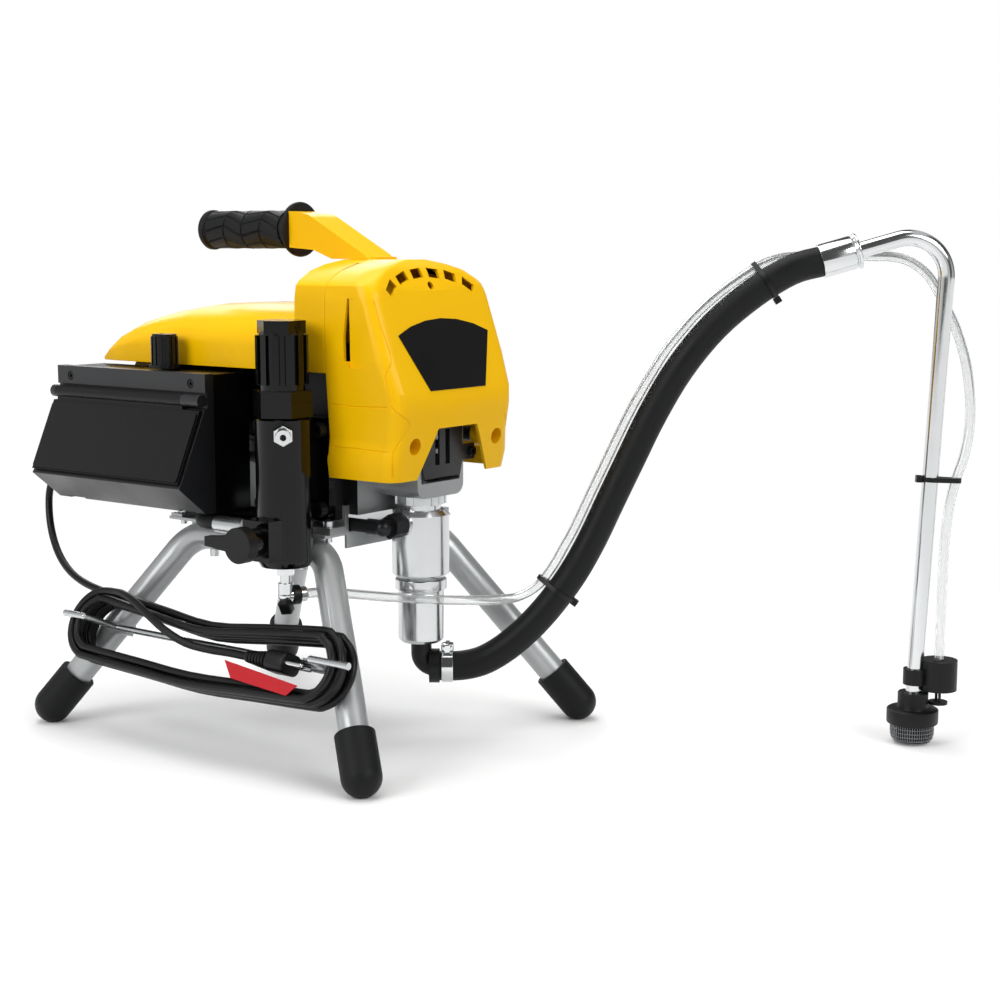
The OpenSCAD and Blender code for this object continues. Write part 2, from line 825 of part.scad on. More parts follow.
// Laminated core, windings and commutator
module armature() {
  color("#7d5a3a")
    difference() {
      union() {
        y_cyl(0, axis_z, 0, 90, 84);
        y_cyl(0, axis_z, -14, 104, 66);
        y_cyl(0, axis_z, 104, 128, 40);
      }
      y_cyl(0, axis_z, -15, 129, shaft_d - 2 * run_gap + 2 * fit_gap);
      for (a = [0:30:330])
        translate([0, 0, axis_z])
          rotate([0, a, 0])
            block(36, 43, -1, 91, -2.5, 2.5);
    }
}

module fan() {
  fan_y = can_back + 8;
  color(plastic_black) {
    difference() {
      union() {
        y_cyl(0, axis_z, fan_y, fan_y + 16, 30);
        y_cyl(0, axis_z, fan_y + 13, fan_y + 16, can_d - 20);
        for (a = [0:30:330])
          translate([0, 0, axis_z])
            rotate([0, a, 0])
              block(10, can_d / 2 - 11, fan_y, fan_y + 14, -1, 1);
      }
      y_cyl(0, axis_z, fan_y - 1, fan_y + 17, shaft_d - 2 * run_gap + 2 * fit_gap);
    }
  }
}

module ring_y(z, y0, y1, outer, inner) {
  difference() {
    y_cyl(0, z, y0, y1, outer);
    y_cyl(0, z, y0 - 1, y1 + 1, inner);
  }
}

module bearings() {
  color(bright_steel) {
    ring_y(axis_z, wall_front + 4, wall_front + 13, 32, crank_shaft_d);
    ring_y(lay_z, wall_front + 4, wall_front + 10, 19, lay_d);
    ring_y(lay_z, wall_back, wall_back + 6, 19, lay_d);
    ring_y(axis_z, wall_back + 1, can_front, 28, shaft_d);
    ring_y(axis_z, can_back - 4, can_back + 4, 28, shaft_d);
  }
}

module layshaft() {
  color(bright_steel) {
    y_cyl(0, lay_z, wall_front + 4.5, wall_back + 5.5, lay_d - 2 * run_gap);
    y_cyl(0, lay_z, wall_front + 10.5, wall_back - 0.5, 12);
    y_gear(lay_z, -90, -76, second_teeth, 90, true, 0);
    y_gear(lay_z, wall_back - 25, wall_back - 15, first_teeth, 90, true, 12 + 2 * fit_gap);
  }
}

module crankshaft() {
  disc_y = wall_front - 12;
  color(bright_steel) {
    y_cyl(0, axis_z, disc_y + 8.9, -76, crank_shaft_d - 2 * run_gap);
    y_cyl(0, axis_z, disc_y, disc_y + 9, 44);
    y_cyl(0, pin_z, rod_front - 1, disc_y + 0.1, pin_d - 2 * run_gap);
  }
}

module crank_gear() {
  color(steel_grey)
    y_gear(axis_z, -89, -77, crank_teeth, -90, false,
      crank_shaft_d - 2 * run_gap + 2 * fit_gap);
}

module connecting_rod() {
  color(steel_grey)
    difference() {
      union() {
        y_cyl(0, pin_z, rod_front, rod_front + rod_t, 24);
        y_cyl(0, wrist_z, rod_front, rod_front + rod_t, 16);
        block(-6, 6, rod_front + 1, rod_front + rod_t - 1, wrist_z, pin_z);
      }
      y_cyl(0, pin_z, rod_front - 1, rod_front + rod_t + 1, pin_d);
      y_cyl(0, wrist_z, rod_front - 1, rod_front + rod_t + 1, wrist_d + 0.4);
    }
}

// Piston with its rod and cross-head; the wrist pin ends short of the connecting rod
module piston_rod() {
  head_low = cyl_low + stroke + 6;
  color(bright_steel)
    difference() {
      union() {
        up_cyl(0, pump_at, head_low, wrist_z, piston_rod_d - 2 * run_gap);
        up_cyl(0, pump_at, head_low, head_low + 14, cyl_bore - 2 * run_gap);
        y_cyl(0, wrist_z, pump_at - 5, pump_at + 5, 2 * boss_r);
        y_cyl(0, wrist_z, pump_at - 7, pump_at + 7, wrist_d);
      }
      up_cyl(0, pump_at, head_low - 1, head_low + 20, 7);
      x_cyl(pump_at, head_low + 18, -8, 8, 4);
    }
}

// ---------------------------------------------------------------- pump

module pump_cylinder() {
  color(bright_steel)
    difference() {
      union() {
        translate([0, pump_at, 0])
          rotate_extrude()
            polygon([[0, cyl_low], [cyl_d / 2 - 5, cyl_low], [cyl_d / 2, cyl_low + 5],
              [cyl_d / 2, cyl_top - 4], [cyl_d / 2 - 4, cyl_top], [neck_d / 2, cyl_top],
              [neck_d / 2, neck_top], [0, neck_top]]);
        x_cyl(pump_at, link_z, -cyl_d / 2 - 2, 0, 21);
      }
      up_cyl(0, pump_at, cyl_low - 1, cyl_top - 5, cyl_bore);
      up_cyl(0, pump_at, cyl_top - 6, neck_top + 1, piston_rod_d);
      up_cyl(0, pump_at, cyl_low - 1, cyl_low + 4 + fit_gap, 30 + 2 * fit_gap);
      x_cyl(pump_at, link_z, -cyl_d / 2 - 3, 0, 6);
      x_cyl(pump_at, link_z, -cyl_d / 2 - 3, -cyl_d / 2 + 6, 12 + 2 * fit_gap);
    }
}

module jam_nut() {
  color(steel_grey)
    difference() {
      union() {
        up_cyl(0, pump_at, nose_low - 8, nose_low - 0.05, 42);
        for (a = [15:60:315])
          translate([0, pump_at, nose_low - 8])
            rotate([0, 0, a])
              translate([18, -3.5, 0])
                cube([4.4, 7, 7.95]);
      }
      up_cyl(0, pump_at, nose_low - 9, nose_low + 1, neck_d + 2 * fit_gap);
    }
}

// Foot valve with its loose inlet ball
module foot_valve() {
  top = cyl_low - 0.05;
  seat = valve_low + 28;
  color(bright_steel) {
    difference() {
      union() {
        up_cyl(0, pump_at, valve_low + 3, top - shoulder_h + 1, foot_valve_d);
        translate([0, pump_at, valve_low])
          cylinder(h = 3, d1 = foot_valve_d - 6, d2 = foot_valve_d);
        up_cyl(0, pump_at, top - shoulder_h, top, foot_valve_d + 5);
        up_cyl(0, pump_at, top, cyl_low + 4, 30);
      }
      up_cyl(0, pump_at, valve_low - 1, seat - 6, 14 + 2 * fit_gap);
      up_cyl(0, pump_at, seat - 7, seat + 1, 11);
      up_cyl(0, pump_at, seat, cyl_low + 5, 22);
    }
    translate([0, pump_at, seat + sqrt(7 * 7 - 5.5 * 5.5) + 0.1])
      sphere(d = 14);
  }
}

// Swivel elbow at the pump and the crimped sleeve at the filter's end
module hose_fittings() {
  color(bright_steel) {
    difference() {
      union() {
        translate([-cyl_d / 2 - 2.1, pump_at, link_z])
          rotate([0, -90, 0])
            hex(19, 15);
        x_cyl(pump_at, link_z, -link_x0, -cyl_d / 2 - 2.1, 13);
        translate([-link_x0, pump_at, link_z])
          rotate([0, 90, 0])
            sphere(d = 15);
        y_cyl(-link_x0, link_z, pump_at, pump_at + 16, 14);
        x_cyl(pump_at, link_z, -cyl_d / 2 - 3, -cyl_d / 2 + 5.5, 12);
      }
      x_cyl(pump_at, link_z, -link_x0, -cyl_d / 2 + 8, 5);
      y_cyl(-link_x0, link_z, pump_at - 3.2, pump_at + 17, 6);
    }
    difference() {
      union() {
        y_cyl(-link_x1, link_z, link_hose_end - sleeve_len, link_hose_end, 14.5);
        translate([-link_x1, link_hose_end - sleeve_len + 0.1, link_z])
          rotate([90, 0, 0])
            hex(15, 7);
        y_cyl(-link_x1, link_z, link_port_y - 7, link_port_y + 1, 10);
      }
      y_cyl(-link_x1, link_z, link_port_y - 8, link_hose_end + 1, 6);
    }
  }
}

module connecting_hose() {
  color(rubber_black) {
    y_cyl(-link_x0, link_z, pump_at + 16.05, link_back, link_d);
    y_cyl(-link_x1, link_z, link_hose_end + 0.05, link_back, link_d);
    translate([-(link_x0 + link_x1) / 2, link_back, link_z])
      rotate_extrude(angle = 180)
        translate([link_turn_r, 0])
          circle(d = link_d);
  }
}

// ---------------------------------------------------------------- filter

module filter_manifold() {
  color(plastic_black)
    difference() {
      union() {
        translate([-filter_x, -filter_y, 0])
          rotate_extrude()
            polygon([[0, filter_low], [filter_d / 2 - 3, filter_low],
              [filter_d / 2 + 0.2, filter_low + 6], [filter_d / 2, filter_top - 40],
              [filter_d / 2, filter_top - 2], [filter_d / 2 - 3, filter_top],
              [0, filter_top]]);
        block(-filter_x, -pad_x - flange_t + 1, -filter_y - 5, -filter_y + 17,
          pad_z0 + 6, pad_z1 - 8);
        translate([-pad_x - flange_t, 0, 0])
          rotate([90, 0, 90])
            linear_extrude(flange_t - 0.02)
              translate([(pad_y0 + pad_y1) / 2, (pad_z0 + pad_z1) / 2])
                rounded(pad_y1 - pad_y0, pad_z1 - pad_z0, 9);
        block(-filter_x - filter_d / 2 - prime_out, -filter_x, -filter_y - 15, -filter_y + 15,
          prime_z - 16, prime_z + 18);
        y_cyl(-link_x1, link_z, -filter_y, link_port_y, 17);
        translate([-filter_x, -filter_y, nipple_z])
          rotate([0, 90, nipple_turn])
            cylinder(h = filter_d / 2 + 3, d = 20);
      }
      up_cyl(-filter_x, -filter_y, filter_low + 30, filter_top + 1, 33);
      up_cyl(-filter_x, -filter_y, filter_low - 1, filter_low + 31, 6);
      up_cyl(-filter_x, -filter_y, filter_low - 1, filter_low + 9, 10 + 2 * fit_gap);
      x_cyl(-filter_y, prime_z, -filter_x - filter_d / 2 - prime_out - 1, -filter_x, 8);
      x_cyl(-filter_y, prime_z, -filter_x - filter_d / 2 - prime_out - 1,
        -filter_x - filter_d / 2 - 2, 16 + 2 * fit_gap);
      y_cyl(-link_x1, link_z, -filter_y, link_port_y + 1, 6);
      y_cyl(-link_x1, link_z, link_port_y - 7.5, link_port_y + 1, 10 + 2 * fit_gap);
      translate([-filter_x, -filter_y, nipple_z])
        rotate([0, 90, nipple_turn])
          cylinder(h = filter_d / 2 + 4, d = 10 + 2 * fit_gap);
      for (p = pad_bolts)
        x_cyl(p[0], p[1], -pad_x - flange_t - 1, -pad_x + 1, 8.4);
    }
}

// Screws of the filter flange, the front cover, the guard, the handle and the bezel
module machine_screws() {
  color("#3a3c3f") {
    for (p = pad_bolts)
      translate([-pad_x - flange_t, p[0], p[1]])
        rotate([0, -90, 0])
          screw(8, flange_t + 6, 13, 8);
    for (sx = [-1, 1]) {
      translate([sx * post_x, post_front - cover_wall - 0.1, post_z])
        rotate([90, 0, 0])
          screw(screw_d, 16, 9, 3.5);
      translate([sx * ear_x, nose_front - 2.15, ear_z])
        rotate([90, 0, 0])
          screw(screw_d, 9, 8.5, 3.5);
      translate([sx * 20, stem_y, gearbox_top + 8.1])
        screw(8, 13, 13, 8);
    }
    for (y = bezel_screws)
      translate([-box_x + 3, y, box_z1 - 9])
        rotate([0, -90, 0])
          screw(3.5, 14, 7, 2.5);
  }
}

module filter_cap() {
  color(plastic_black)
    difference() {
      union() {
        translate([-filter_x, -filter_y, filter_top + 0.05])
          hex(44, 22);
        up_cyl(-filter_x, -filter_y, filter_top + 21, filter_top + 70, cap_d - 6);
        for (a = [0:30:330])
          translate([-filter_x, -filter_y, filter_top + 27])
            rotate([0, 0, a])
              translate([cap_d / 2 - 5, -3, 0])
                cube([5, 6, 41]);
        translate([-filter_x, -filter_y, filter_top + 69])
          hex(36, 11);
        up_cyl(-filter_x, -filter_y, filter_top - 14, filter_top + 1, 33 - 2 * fit_gap);
      }
      up_cyl(-filter_x, -filter_y, filter_top - 15, filter_top + 60, 27);
    }
}

module filter_element() {
  color(bright_steel)
    difference() {
      up_cyl(-filter_x, -filter_y, filter_low + 30.1, filter_top + 50, 24);
      up_cyl(-filter_x, -filter_y, filter_low + 29, filter_top + 46, 20);
    }
}

module outlet_nipple() {
  color(bright_steel)
    translate([-filter_x, -filter_y, nipple_z])
      rotate([0, 90, nipple_turn])
        difference() {
          union() {
            translate([0, 0, 18.5])
              cylinder(h = 10, d = 10);
            translate([0, 0, filter_d / 2 + 3.05])
              hex(15, 8);
            translate([0, 0, filter_d / 2 + 11])
              cylinder(h = nipple_len, d = nipple_d);
          }
          translate([0, 0, 17])
            cylinder(h = 40, d = 5);
        }
}

module valve_body() {
  x1 = -filter_x - filter_d / 2 - prime_out;
  color(plastic_black)
    difference() {
      union() {
        x_cyl(-filter_y, prime_z, x1 - 11, x1 - 0.05, 24);
        x_cyl(-filter_y, prime_z, x1 - 1, x1 + 9, 16);
      }
      x_cyl(-filter_y, prime_z, x1 - 12, x1 + 10, 8);
    }
}

// Prime knob with its lever pointing to the rear, on its stem
module prime_lever() {
  x1 = -filter_x - filter_d / 2 - prime_out;
  color("#2b2d30") {
    x_cyl(-filter_y, prime_z, x1 - 12, x1 + 8, 8 - 2 * run_gap);
    x_cyl(-filter_y, prime_z, x1 - 22, x1 - 11 - free_gap, 30);
    translate([x1 - 20, -filter_y, prime_z])
      rotate([90, 0, 90])
        linear_extrude(8)
          polygon([[0, -8], [lever_len, -4], [lever_len, 4], [0, 8]]);
  }
}

// Fitting under the filter, turned towards the drain hose
module drain_fitting() {
  color(bright_steel)
    translate([-filter_x, -filter_y, 0])
      rotate([0, 0, plane_turn + drain_turn])
        difference() {
          union() {
            up_cyl(0, 0, filter_low - 1, filter_low + 8, 10);
            translate([0, 0, filter_low - 8])
              hex(14, 7.95);
            up_cyl(0, 0, drain_z, filter_low - 7, 9);
            up_cyl(0, 0, drain_z, drain_z + 11, 13);
            translate([0, 0, drain_z])
              sphere(d = 13.6);
            x_cyl(0, drain_z, 0, drain_reach - 0.05, 13);
          }
          up_cyl(0, 0, drain_z, filter_low + 9, 5);
          x_cyl(0, drain_z, 0, drain_reach + 1, 5);
        }
}

// ---------------------------------------------------------------- suction set

module inlet_elbow() {
  color(rubber_black)
    in_plane()
      difference() {
        union() {
          plane_cyl(0, inlet_z + elbow_r, 90, valve_low - inlet_z - elbow_r - 0.05, 18);
          plane_cyl(0, valve_low - 1, 90, 16, 14);
          plane_arc([elbow_r, inlet_z + elbow_r], elbow_r, 180, 270, 18);
          plane_cyl(elbow_r, inlet_z, 0, hose_points[0][0] - elbow_r, 18);
          plane_cyl(hose_points[0][0] - 9, inlet_z, 0, 9, 30);
        }
        plane_cyl(0, inlet_z + elbow_r, 90, 60, 9);
        plane_arc([elbow_r, inlet_z + elbow_r], elbow_r, 180, 270, 9);
        plane_cyl(elbow_r, inlet_z, 0, 40, 9);
      }
}

module hose_clamp() {
  at = hose_points[0][0] + 2;
  color(bright_steel)
    in_plane()
      difference() {
        union() {
          plane_cyl(at, inlet_z, 0, 10, hose_d + 3.2);
          translate([at, -8, inlet_z + hose_d / 2 - 1])
            cube([10, 16, 8]);
        }
        plane_cyl(at - 1, inlet_z, 0, 12, hose_d + 2 * seat_gap);
      }
}

// A point on the steel tube's first straight, s along from the start of its bend
function on_straight(s) = tube_bend + tube_bend_r * [-sin(tube_head), cos(tube_head)]
  + s * [cos(tube_head), sin(tube_head)];
function in_space(p) = [p[0], 0, p[1]];
bend_end = tube_bend + tube_bend_r * [cos(tube_lean), -sin(tube_lean)];

module suction_hose() {
  color(rubber_black)
    in_plane()
      sweep(concat(hose_points, [in_space(on_straight(-sleeve_from - 26)),
        in_space(on_straight(-sleeve_from))]), hose_d, 12, [0, 1, 0]);
}

module straight_cyl(s0, s1, d) {
  p = on_straight(s0);
  plane_cyl(p[0], p[1], tube_head, s1 - s0, d);
}

module hose_sleeve() {
  end = sleeve_run - sleeve_from;
  color(bright_steel)
    in_plane()
      difference() {
        straight_cyl(0.05 - sleeve_from, end, sleeve_d);
        straight_cyl(-sleeve_from - 1, end + 1, suction_bore);
        straight_cyl(-tube_from - fit_gap, end + 1, suction_d + 2 * fit_gap);
      }
}

module suction_drop(low, d) {
  plane_cyl(bend_end[0], bend_end[1], -90 - tube_lean, (bend_end[1] - low) / cos(tube_lean), d);
}

module suction_shape(d, past) {
  straight_cyl(-tube_from - past, -seam_in, d);
  straight_cyl(-0.5, 0.5, d + 0.1);
  plane_arc(tube_bend, tube_bend_r, -tube_lean, 90 + tube_head, d);
  translate(in_space(bend_end))
    rotate([0, 180 + tube_lean, 0]) {
      seam(d);
      translate([0, 0, seam_in])
        cylinder(h = (bend_end[1] - tube_end_z) / cos(tube_lean) - seam_in + past, d = d);
    }
}

module suction_tube() {
  color(bright_steel)
    in_plane()
      difference() {
        suction_shape(suction_d, 0);
        suction_shape(suction_bore, 1);
      }
}

module strainer() {
  color("#2a2c2e")
    in_plane()
      difference() {
        union() {
          translate([strainer_at, 0, 30])
            rotate(30)
              hex(26, 16);
          up_cyl(strainer_at, 0, 18, 31, strainer_d);
          up_cyl(strainer_at, 0, 0, 19, strainer_d - 7);
        }
        up_cyl(strainer_at, 0, 2, 28, strainer_d - 11);
        up_cyl(strainer_at, 0, 27, 40, suction_bore);
        suction_drop(tube_end_z - fit_gap, suction_d + 2 * fit_gap);
        for (a = [0:30:330])
          translate([strainer_at, 0, 4])
            rotate([0, 0, a])
              translate([10, -1.5, 0])
                cube([20, 3, 11]);
      }
}

// Clip on the tube, and the cup that spreads the drained liquid
module drain_clip() {
  tube_u = bend_end[0] - (bend_end[1] - clip_z0 - clip_h / 2) * tan(tube_lean);
  color(plastic_black)
    in_plane()
      difference() {
        union() {
          up_cyl(tube_u, 0, clip_z0, clip_z0 + clip_h, suction_d + 6);
          up_cyl(cup_at, 0, cup_low, cup_low + cup_h - 0.05, cup_d);
          for (y = [-6, 6])
            up_cyl(cup_at, y, cup_low - 12, cup_low + cup_h - 2, 2.5);
          up_cyl(cup_at, 0, cup_low - 13, cup_low - 10.5, 17);
        }
        difference() {
          up_cyl(cup_at, 0, cup_low - 1, cup_low + cup_h - 3, cup_d - 5);
          for (y = [-6, 6])
            up_cyl(cup_at, y, cup_low - 2, cup_low + cup_h, 2.5);
        }
        suction_drop(tube_end_z, suction_d + 2 * fit_gap);
      }
}

// A point on the drain fitting's axis, l from the filter's axis, in the upright plane
function drain_from(l) = [
  -filter_x * cos(plane_turn) + (pump_y - filter_y) * sin(plane_turn) + l * cos(drain_turn),
  filter_x * sin(plane_turn) + (pump_y - filter_y) * cos(plane_turn) + l * sin(drain_turn),
  drain_z];

module drain_hose() {
  color("#dfe7ea", 0.5)
    in_plane()
      sweep(concat([for (l = [0, 8]) drain_from(drain_reach + l)], drain_points), drain_d, 8,
        [0, 0, 1]);
}

// Ties: a flat band round both hoses with a small square head
module tie(u, z, head, reach, base_d) {
  translate([u, 0, z])
    rotate([0, -head, 0])
      difference() {
        union() {
          translate([0, 0, -base_d / 2 - 1.4])
            translate([-2, -base_d / 2 - 1.4, 0])
              cube([4, base_d + 2.8, reach + 2.8]);
          translate([-2.5, -3, -base_d / 2 - 5])
            cube([5, 6, 5]);
        }
        translate([-3, -base_d / 2 - 0.2, -base_d / 2 - 0.2])
          cube([6, base_d + 0.4, reach + 0.4]);
      }
}

module cable_ties() {
  color(rubber_black)
    in_plane() {
      tie(tie_low[0], tie_low[1], 54, hose_d + drain_d + 2.5, hose_d);
      tie(tie_mid[0], tie_mid[1], 33, hose_d + drain_d + 3.5, hose_d);
      tie(tie_high[0], tie_high[1], -90 - tube_lean, suction_d + drain_d + 11, suction_d);
    }
}

// ---------------------------------------------------------------- control box

module control_box() {
  color(plastic_black)
    difference() {
      union() {
        difference() {
          block(seam_x + 0.05, back_x, box_y0 + 2, box_y1 - 2, box_z0, box_z1 - 1);
          block(seam_x - 1, back_x - box_wall, box_y0 + 2 + box_wall, box_y1 - 2 - box_wall,
            box_z0 + box_wall, box_z1 - 1 - box_wall);
        }
        // bosses for the bezel's screws, and the cheeks that hold the switch button
        for (y = bezel_screws)
          x_cyl(y, box_z1 - 9, seam_x + 0.05, seam_x + 12, 11);
        for (x = [switch_at[0] - 11.5, switch_at[0] + 8])
          block(x, x + 3.5, box_y1 - 14, box_y1 - 4, switch_at[1] - 8, switch_at[1] + 8);
      }
      for (y = bezel_screws)
        x_cyl(y, box_z1 - 9, seam_x - 1, seam_x + 9, 3.5 + 2 * fit_gap);
      up_cyl(knob_at[0], knob_at[1], box_z1 - 8, box_z1 + 1, 7);
      y_cyl(relief_at[0], relief_at[1], box_y1 - 8, box_y1 + 1, 10);
      block(switch_at[0] - 8, switch_at[0] + 8, box_y1 - 6, box_y1 + 1, switch_at[1] - 13,
        switch_at[1] + 13);
      x_cyl(box_y1 - 9, switch_at[1], switch_at[0] - 9.2, switch_at[0] + 9.2, 5 + 2 * run_gap);
    }
}

// Side outline of the bezel, from the seam to the sloping mouth that the door closes
function bezel_side(inset) = [[seam_x, box_z0 + inset], [-box_x - 2, box_z0 + inset],
  [door_foot[0] + 1 + inset, door_foot[1] - 4 + inset],
  [door_foot[0] + 3.7, door_foot[1]],
  [-box_x - 1, hinge_at[1] - barrel_d / 2 - 1.2], [-box_x + 2, hinge_at[1] - barrel_d / 2 - 1.2],
  [-box_x + 2, hinge_at[1] + barrel_d / 2 + 1], [-box_x, hinge_at[1] + barrel_d / 2 + 1],
  [-box_x, box_z1], [seam_x, box_z1]];

module control_bezel() {
  color("#3b3d40")
    difference() {
      union() {
        difference() {
          plate_xz(box_y0, box_y1)
            polygon(bezel_side(0));
          // tool compartment behind the door
          plate_xz(box_y0 + box_wall, box_y1 - box_wall)
            polygon([[seam_x - 3, box_z0 + box_wall + 1],
              [-box_x - 2, box_z0 + box_wall + 1], [door_foot[0] + 6, door_foot[1] - 1],
              [door_foot[0] - 10, door_foot[1] + 2], [-box_x - 12, 296], [seam_x - 3, 296]]);
        }
        for (span = [[box_y0, box_y0 + 22], [box_y1 - 6, box_y1]]) {
          y_cyl(hinge_at[0], hinge_at[1], span[0], span[1], barrel_d);
          block(hinge_at[0], -box_x + 3, span[0], span[1], hinge_at[1] - 3, hinge_at[1] + 3);
        }
      }
      y_cyl(hinge_at[0], hinge_at[1], box_y0 + 4, box_y1 + 1, hinge_pin_d + 2 * fit_gap);
      for (y = bezel_screws) {
        x_cyl(y, box_z1 - 9, -box_x - 1, -box_x + 3, 8);
        x_cyl(y, box_z1 - 9, -box_x - 1, seam_x + 1, 3.6);
      }
      for (y = [box_y0 + 12, box_y1 - 36])
        block(-box_x - 14, -box_x + 2, y, y + 20, box_z0 - 1, box_z0 + 1.5);
    }
}

module tool_door() {
  top = [hinge_at[0] - barrel_d / 2 + 0.5, hinge_at[1]];
  lean = atan2(top[0] - door_foot[0], top[1] - door_foot[1]);
  color(plastic_black)
    difference() {
      union() {
        y_cyl(hinge_at[0], hinge_at[1], box_y0 + 22 + free_gap, box_y1 - 6 - free_gap, barrel_d);
        plate_xz(box_y0 + 1, box_y1 - 1)
          polygon([door_foot, door_foot + [door_t / cos(lean), 0],
            [-box_x - 3, hinge_at[1] - barrel_d / 2 - 2.5],
            [-box_x - 3 - door_t / cos(lean), hinge_at[1] - barrel_d / 2 - 2.5]]);
        plate_xz(box_y0 + 22 + free_gap, box_y1 - 6 - free_gap)
          polygon([[-box_x - 3, hinge_at[1] - barrel_d / 2 - 3],
            [-box_x - 3 - door_t / cos(lean), hinge_at[1] - barrel_d / 2 - 3],
            [-box_x - 3 - door_t / cos(lean), hinge_at[1]], [-box_x - 3, hinge_at[1]]]);
      }
      y_cyl(hinge_at[0], hinge_at[1], box_y0, box_y1, hinge_pin_d + 2 * run_gap);
    }
}

module hinge_pin() {
  color(bright_steel)
    y_cyl(hinge_at[0], hinge_at[1], box_y0 + 4, box_y1, hinge_pin_d);
}

// Board on four pillars, with two capacitors, a choke, a heat sink and the knob's control
module circuit_board() {
  x = back_x - box_wall - 8;
  color("#2f6b3d") {
    block(x - 1.6, x, box_y0 + 16, box_y1 - 30, box_z0 + 12, box_z1 - 22);
    for (y = [box_y0 + 22, box_y1 - 36])
      for (z = [box_z0 + 18, box_z1 - 28])
        x_cyl(y, z, x, back_x - box_wall, 6);
    for (y = [44, 64])
      x_cyl(y, 240, x - 21, x - 1.6, 16);
    block(x - 16, x - 1.6, 90, 130, 226, 262);
    for (k = [0:4])
      block(x - 14, x - 1.6, 142 + 6 * k, 144.5 + 6 * k, 226, 286);
  }
  color("#8b8f93")
    difference() {
      union() {
        up_cyl(knob_at[0], knob_at[1], box_z1 - 16, box_z1 - 1 - box_wall, 17);
        up_cyl(knob_at[0], knob_at[1], box_z1 - 5, box_z1 + 0.5, 7 - 2 * fit_gap);
      }
      up_cyl(knob_at[0], knob_at[1], box_z1 - 14, box_z1 + 2, 4);
    }
}

module pressure_knob() {
  x = knob_at[0];
  y = knob_at[1];
  color(rubber_black) {
    up_cyl(x, y, box_z1 - 12, box_z1 + 4, 4 - 2 * run_gap);
    up_cyl(x, y, box_z1 + 0.8, box_z1 + 4, knob_d + 4);
    up_cyl(x, y, box_z1 + 3, box_z1 + knob_h, knob_d - 2);
    for (a = [0:30:330])
      translate([x, y, box_z1 + 3])
        rotate([0, 0, a])
          translate([knob_d / 2 - 2, -1.6, 0])
            cube([2, 3.2, knob_h - 5]);
    translate([x - knob_d / 2 - 1, y - 1, box_z1 + knob_h - 0.5])
      cube([knob_d / 2, 2, 0.9]);
  }
}

// Rocker switch button on its cross pin, pressed at the bottom
module switch_rocker() {
  color(rubber_black)
    translate([switch_at[0], box_y1 - 9, switch_at[1]])
      rotate([rocker_tilt, 0, 0]) {
        x_cyl(0, 0, -8.9, 8.9, 5);
        translate([-7.5, 0, 0])
          rotate([90, 0, 90])
            linear_extrude(15)
              polygon([[0, -8], [7, -10], [9, 0], [7, 10], [0, 8]]);
      }
}

module strain_relief() {
  y0 = box_y1 - 2;
  color(rubber_black) {
    y_cyl(relief_at[0], relief_at[1], y0 - 4, y0 + 0.1, 10 - 2 * fit_gap);
    y_cyl(relief_at[0], relief_at[1], y0 + 0.05, y0 + 4, 18);
    translate([relief_at[0], y0 + relief_len, relief_at[1]])
      rotate([90, 0, 0])
        cylinder(h = relief_len - 3, d1 = cord_d + 2.5, d2 = cord_d + 6);
  }
}

// ---------------------------------------------------------------- power cord

hank_len = hank_layers * hank_turns * hank_rings;
hank_half_wave = hank_turns * hank_rings;
hank_grow = hank_turns * hank_pitch;
hank_run = hank_half - hank_r - hank_grow;
hank_z = hank_sag - (rail_z - rod_z) / cos(leg_tilt);
// How far ring j has wound out: in, out, in, out, turning back along a run
function hank_wave(j) =
  let (i = j - hank_climb / 2, k = floor(i / hank_half_wave), f = i / hank_half_wave - k)
  i < 0 ? 2 - f : k % 2 == 0 ? 1 - f : f;
// Layer of ring j, climbing along the run where the winding turns back
function hank_layer(j) =
  let (k = floor(j / hank_half_wave), f = (j - k * hank_half_wave) / hank_climb)
  k < 1 ? 0 : k >= hank_layers ? hank_layers - 1 : k - 1 + min(1, f);
// Ring j of the hank in the tilted plane of the legs: [outwards, along, up the slope]
function hank_point(j) =
  let (r = hank_r + hank_grow * hank_wave(j), k = j % hank_rings,
    a = (k < 12 ? k - 4 : k - 16) * 22.5, f = (k % 12) / 4, pull = pow(sin(180 * f), 2),
    y = k < 4 ? hank_run * (1 - 2 * f) : k < 12 ? -hank_run - r * sin(a)
      : k < 16 ? hank_run * (2 * f - 1) : hank_run + r * sin(a),
    z = k < 4 ? r - (hank_waist + hank_droop) * pull : k < 12 ? r * cos(a)
      : k < 16 ? -r - hank_low * pull : -r * cos(a))
  [-hank_off - hank_layer(j) * hank_pitch, hank_mid + y, hank_z + z];
function to_world(p) = [-rail_x + p[0] * cos(leg_tilt) + p[2] * sin(leg_tilt), p[1],
  rail_z - p[0] * sin(leg_tilt) + p[2] * cos(leg_tilt)];
hank_world = [for (j = [0:hank_len]) to_world(hank_point(j))];
hank_first = hank_world[0];
hank_last = hank_world[hank_len];
hank_gap = min([for (i = [0:hank_len - 8]) for (k = [i + 8:hank_len])
  norm(hank_world[i] - hank_world[k])]) - cord_d;
echo(hank_gap = hank_gap);

module power_lead() {
  start = [relief_at[0], box_y1 - 2 + relief_len, relief_at[1]];
  points = concat([start, start + [0, 3, 0]], [for (p = lead_mid) to_world(p)],
    [hank_first + [0, 11, 0.2], hank_first + [0, 0.6, 0]]);
  color(rubber_black)
    sweep(points, cord_d, 8, [1, 0, 0]);
}

module cord_hank() {
  color(rubber_black)
    sweep(hank_world, cord_d, 6, [1, 0, 0]);
}

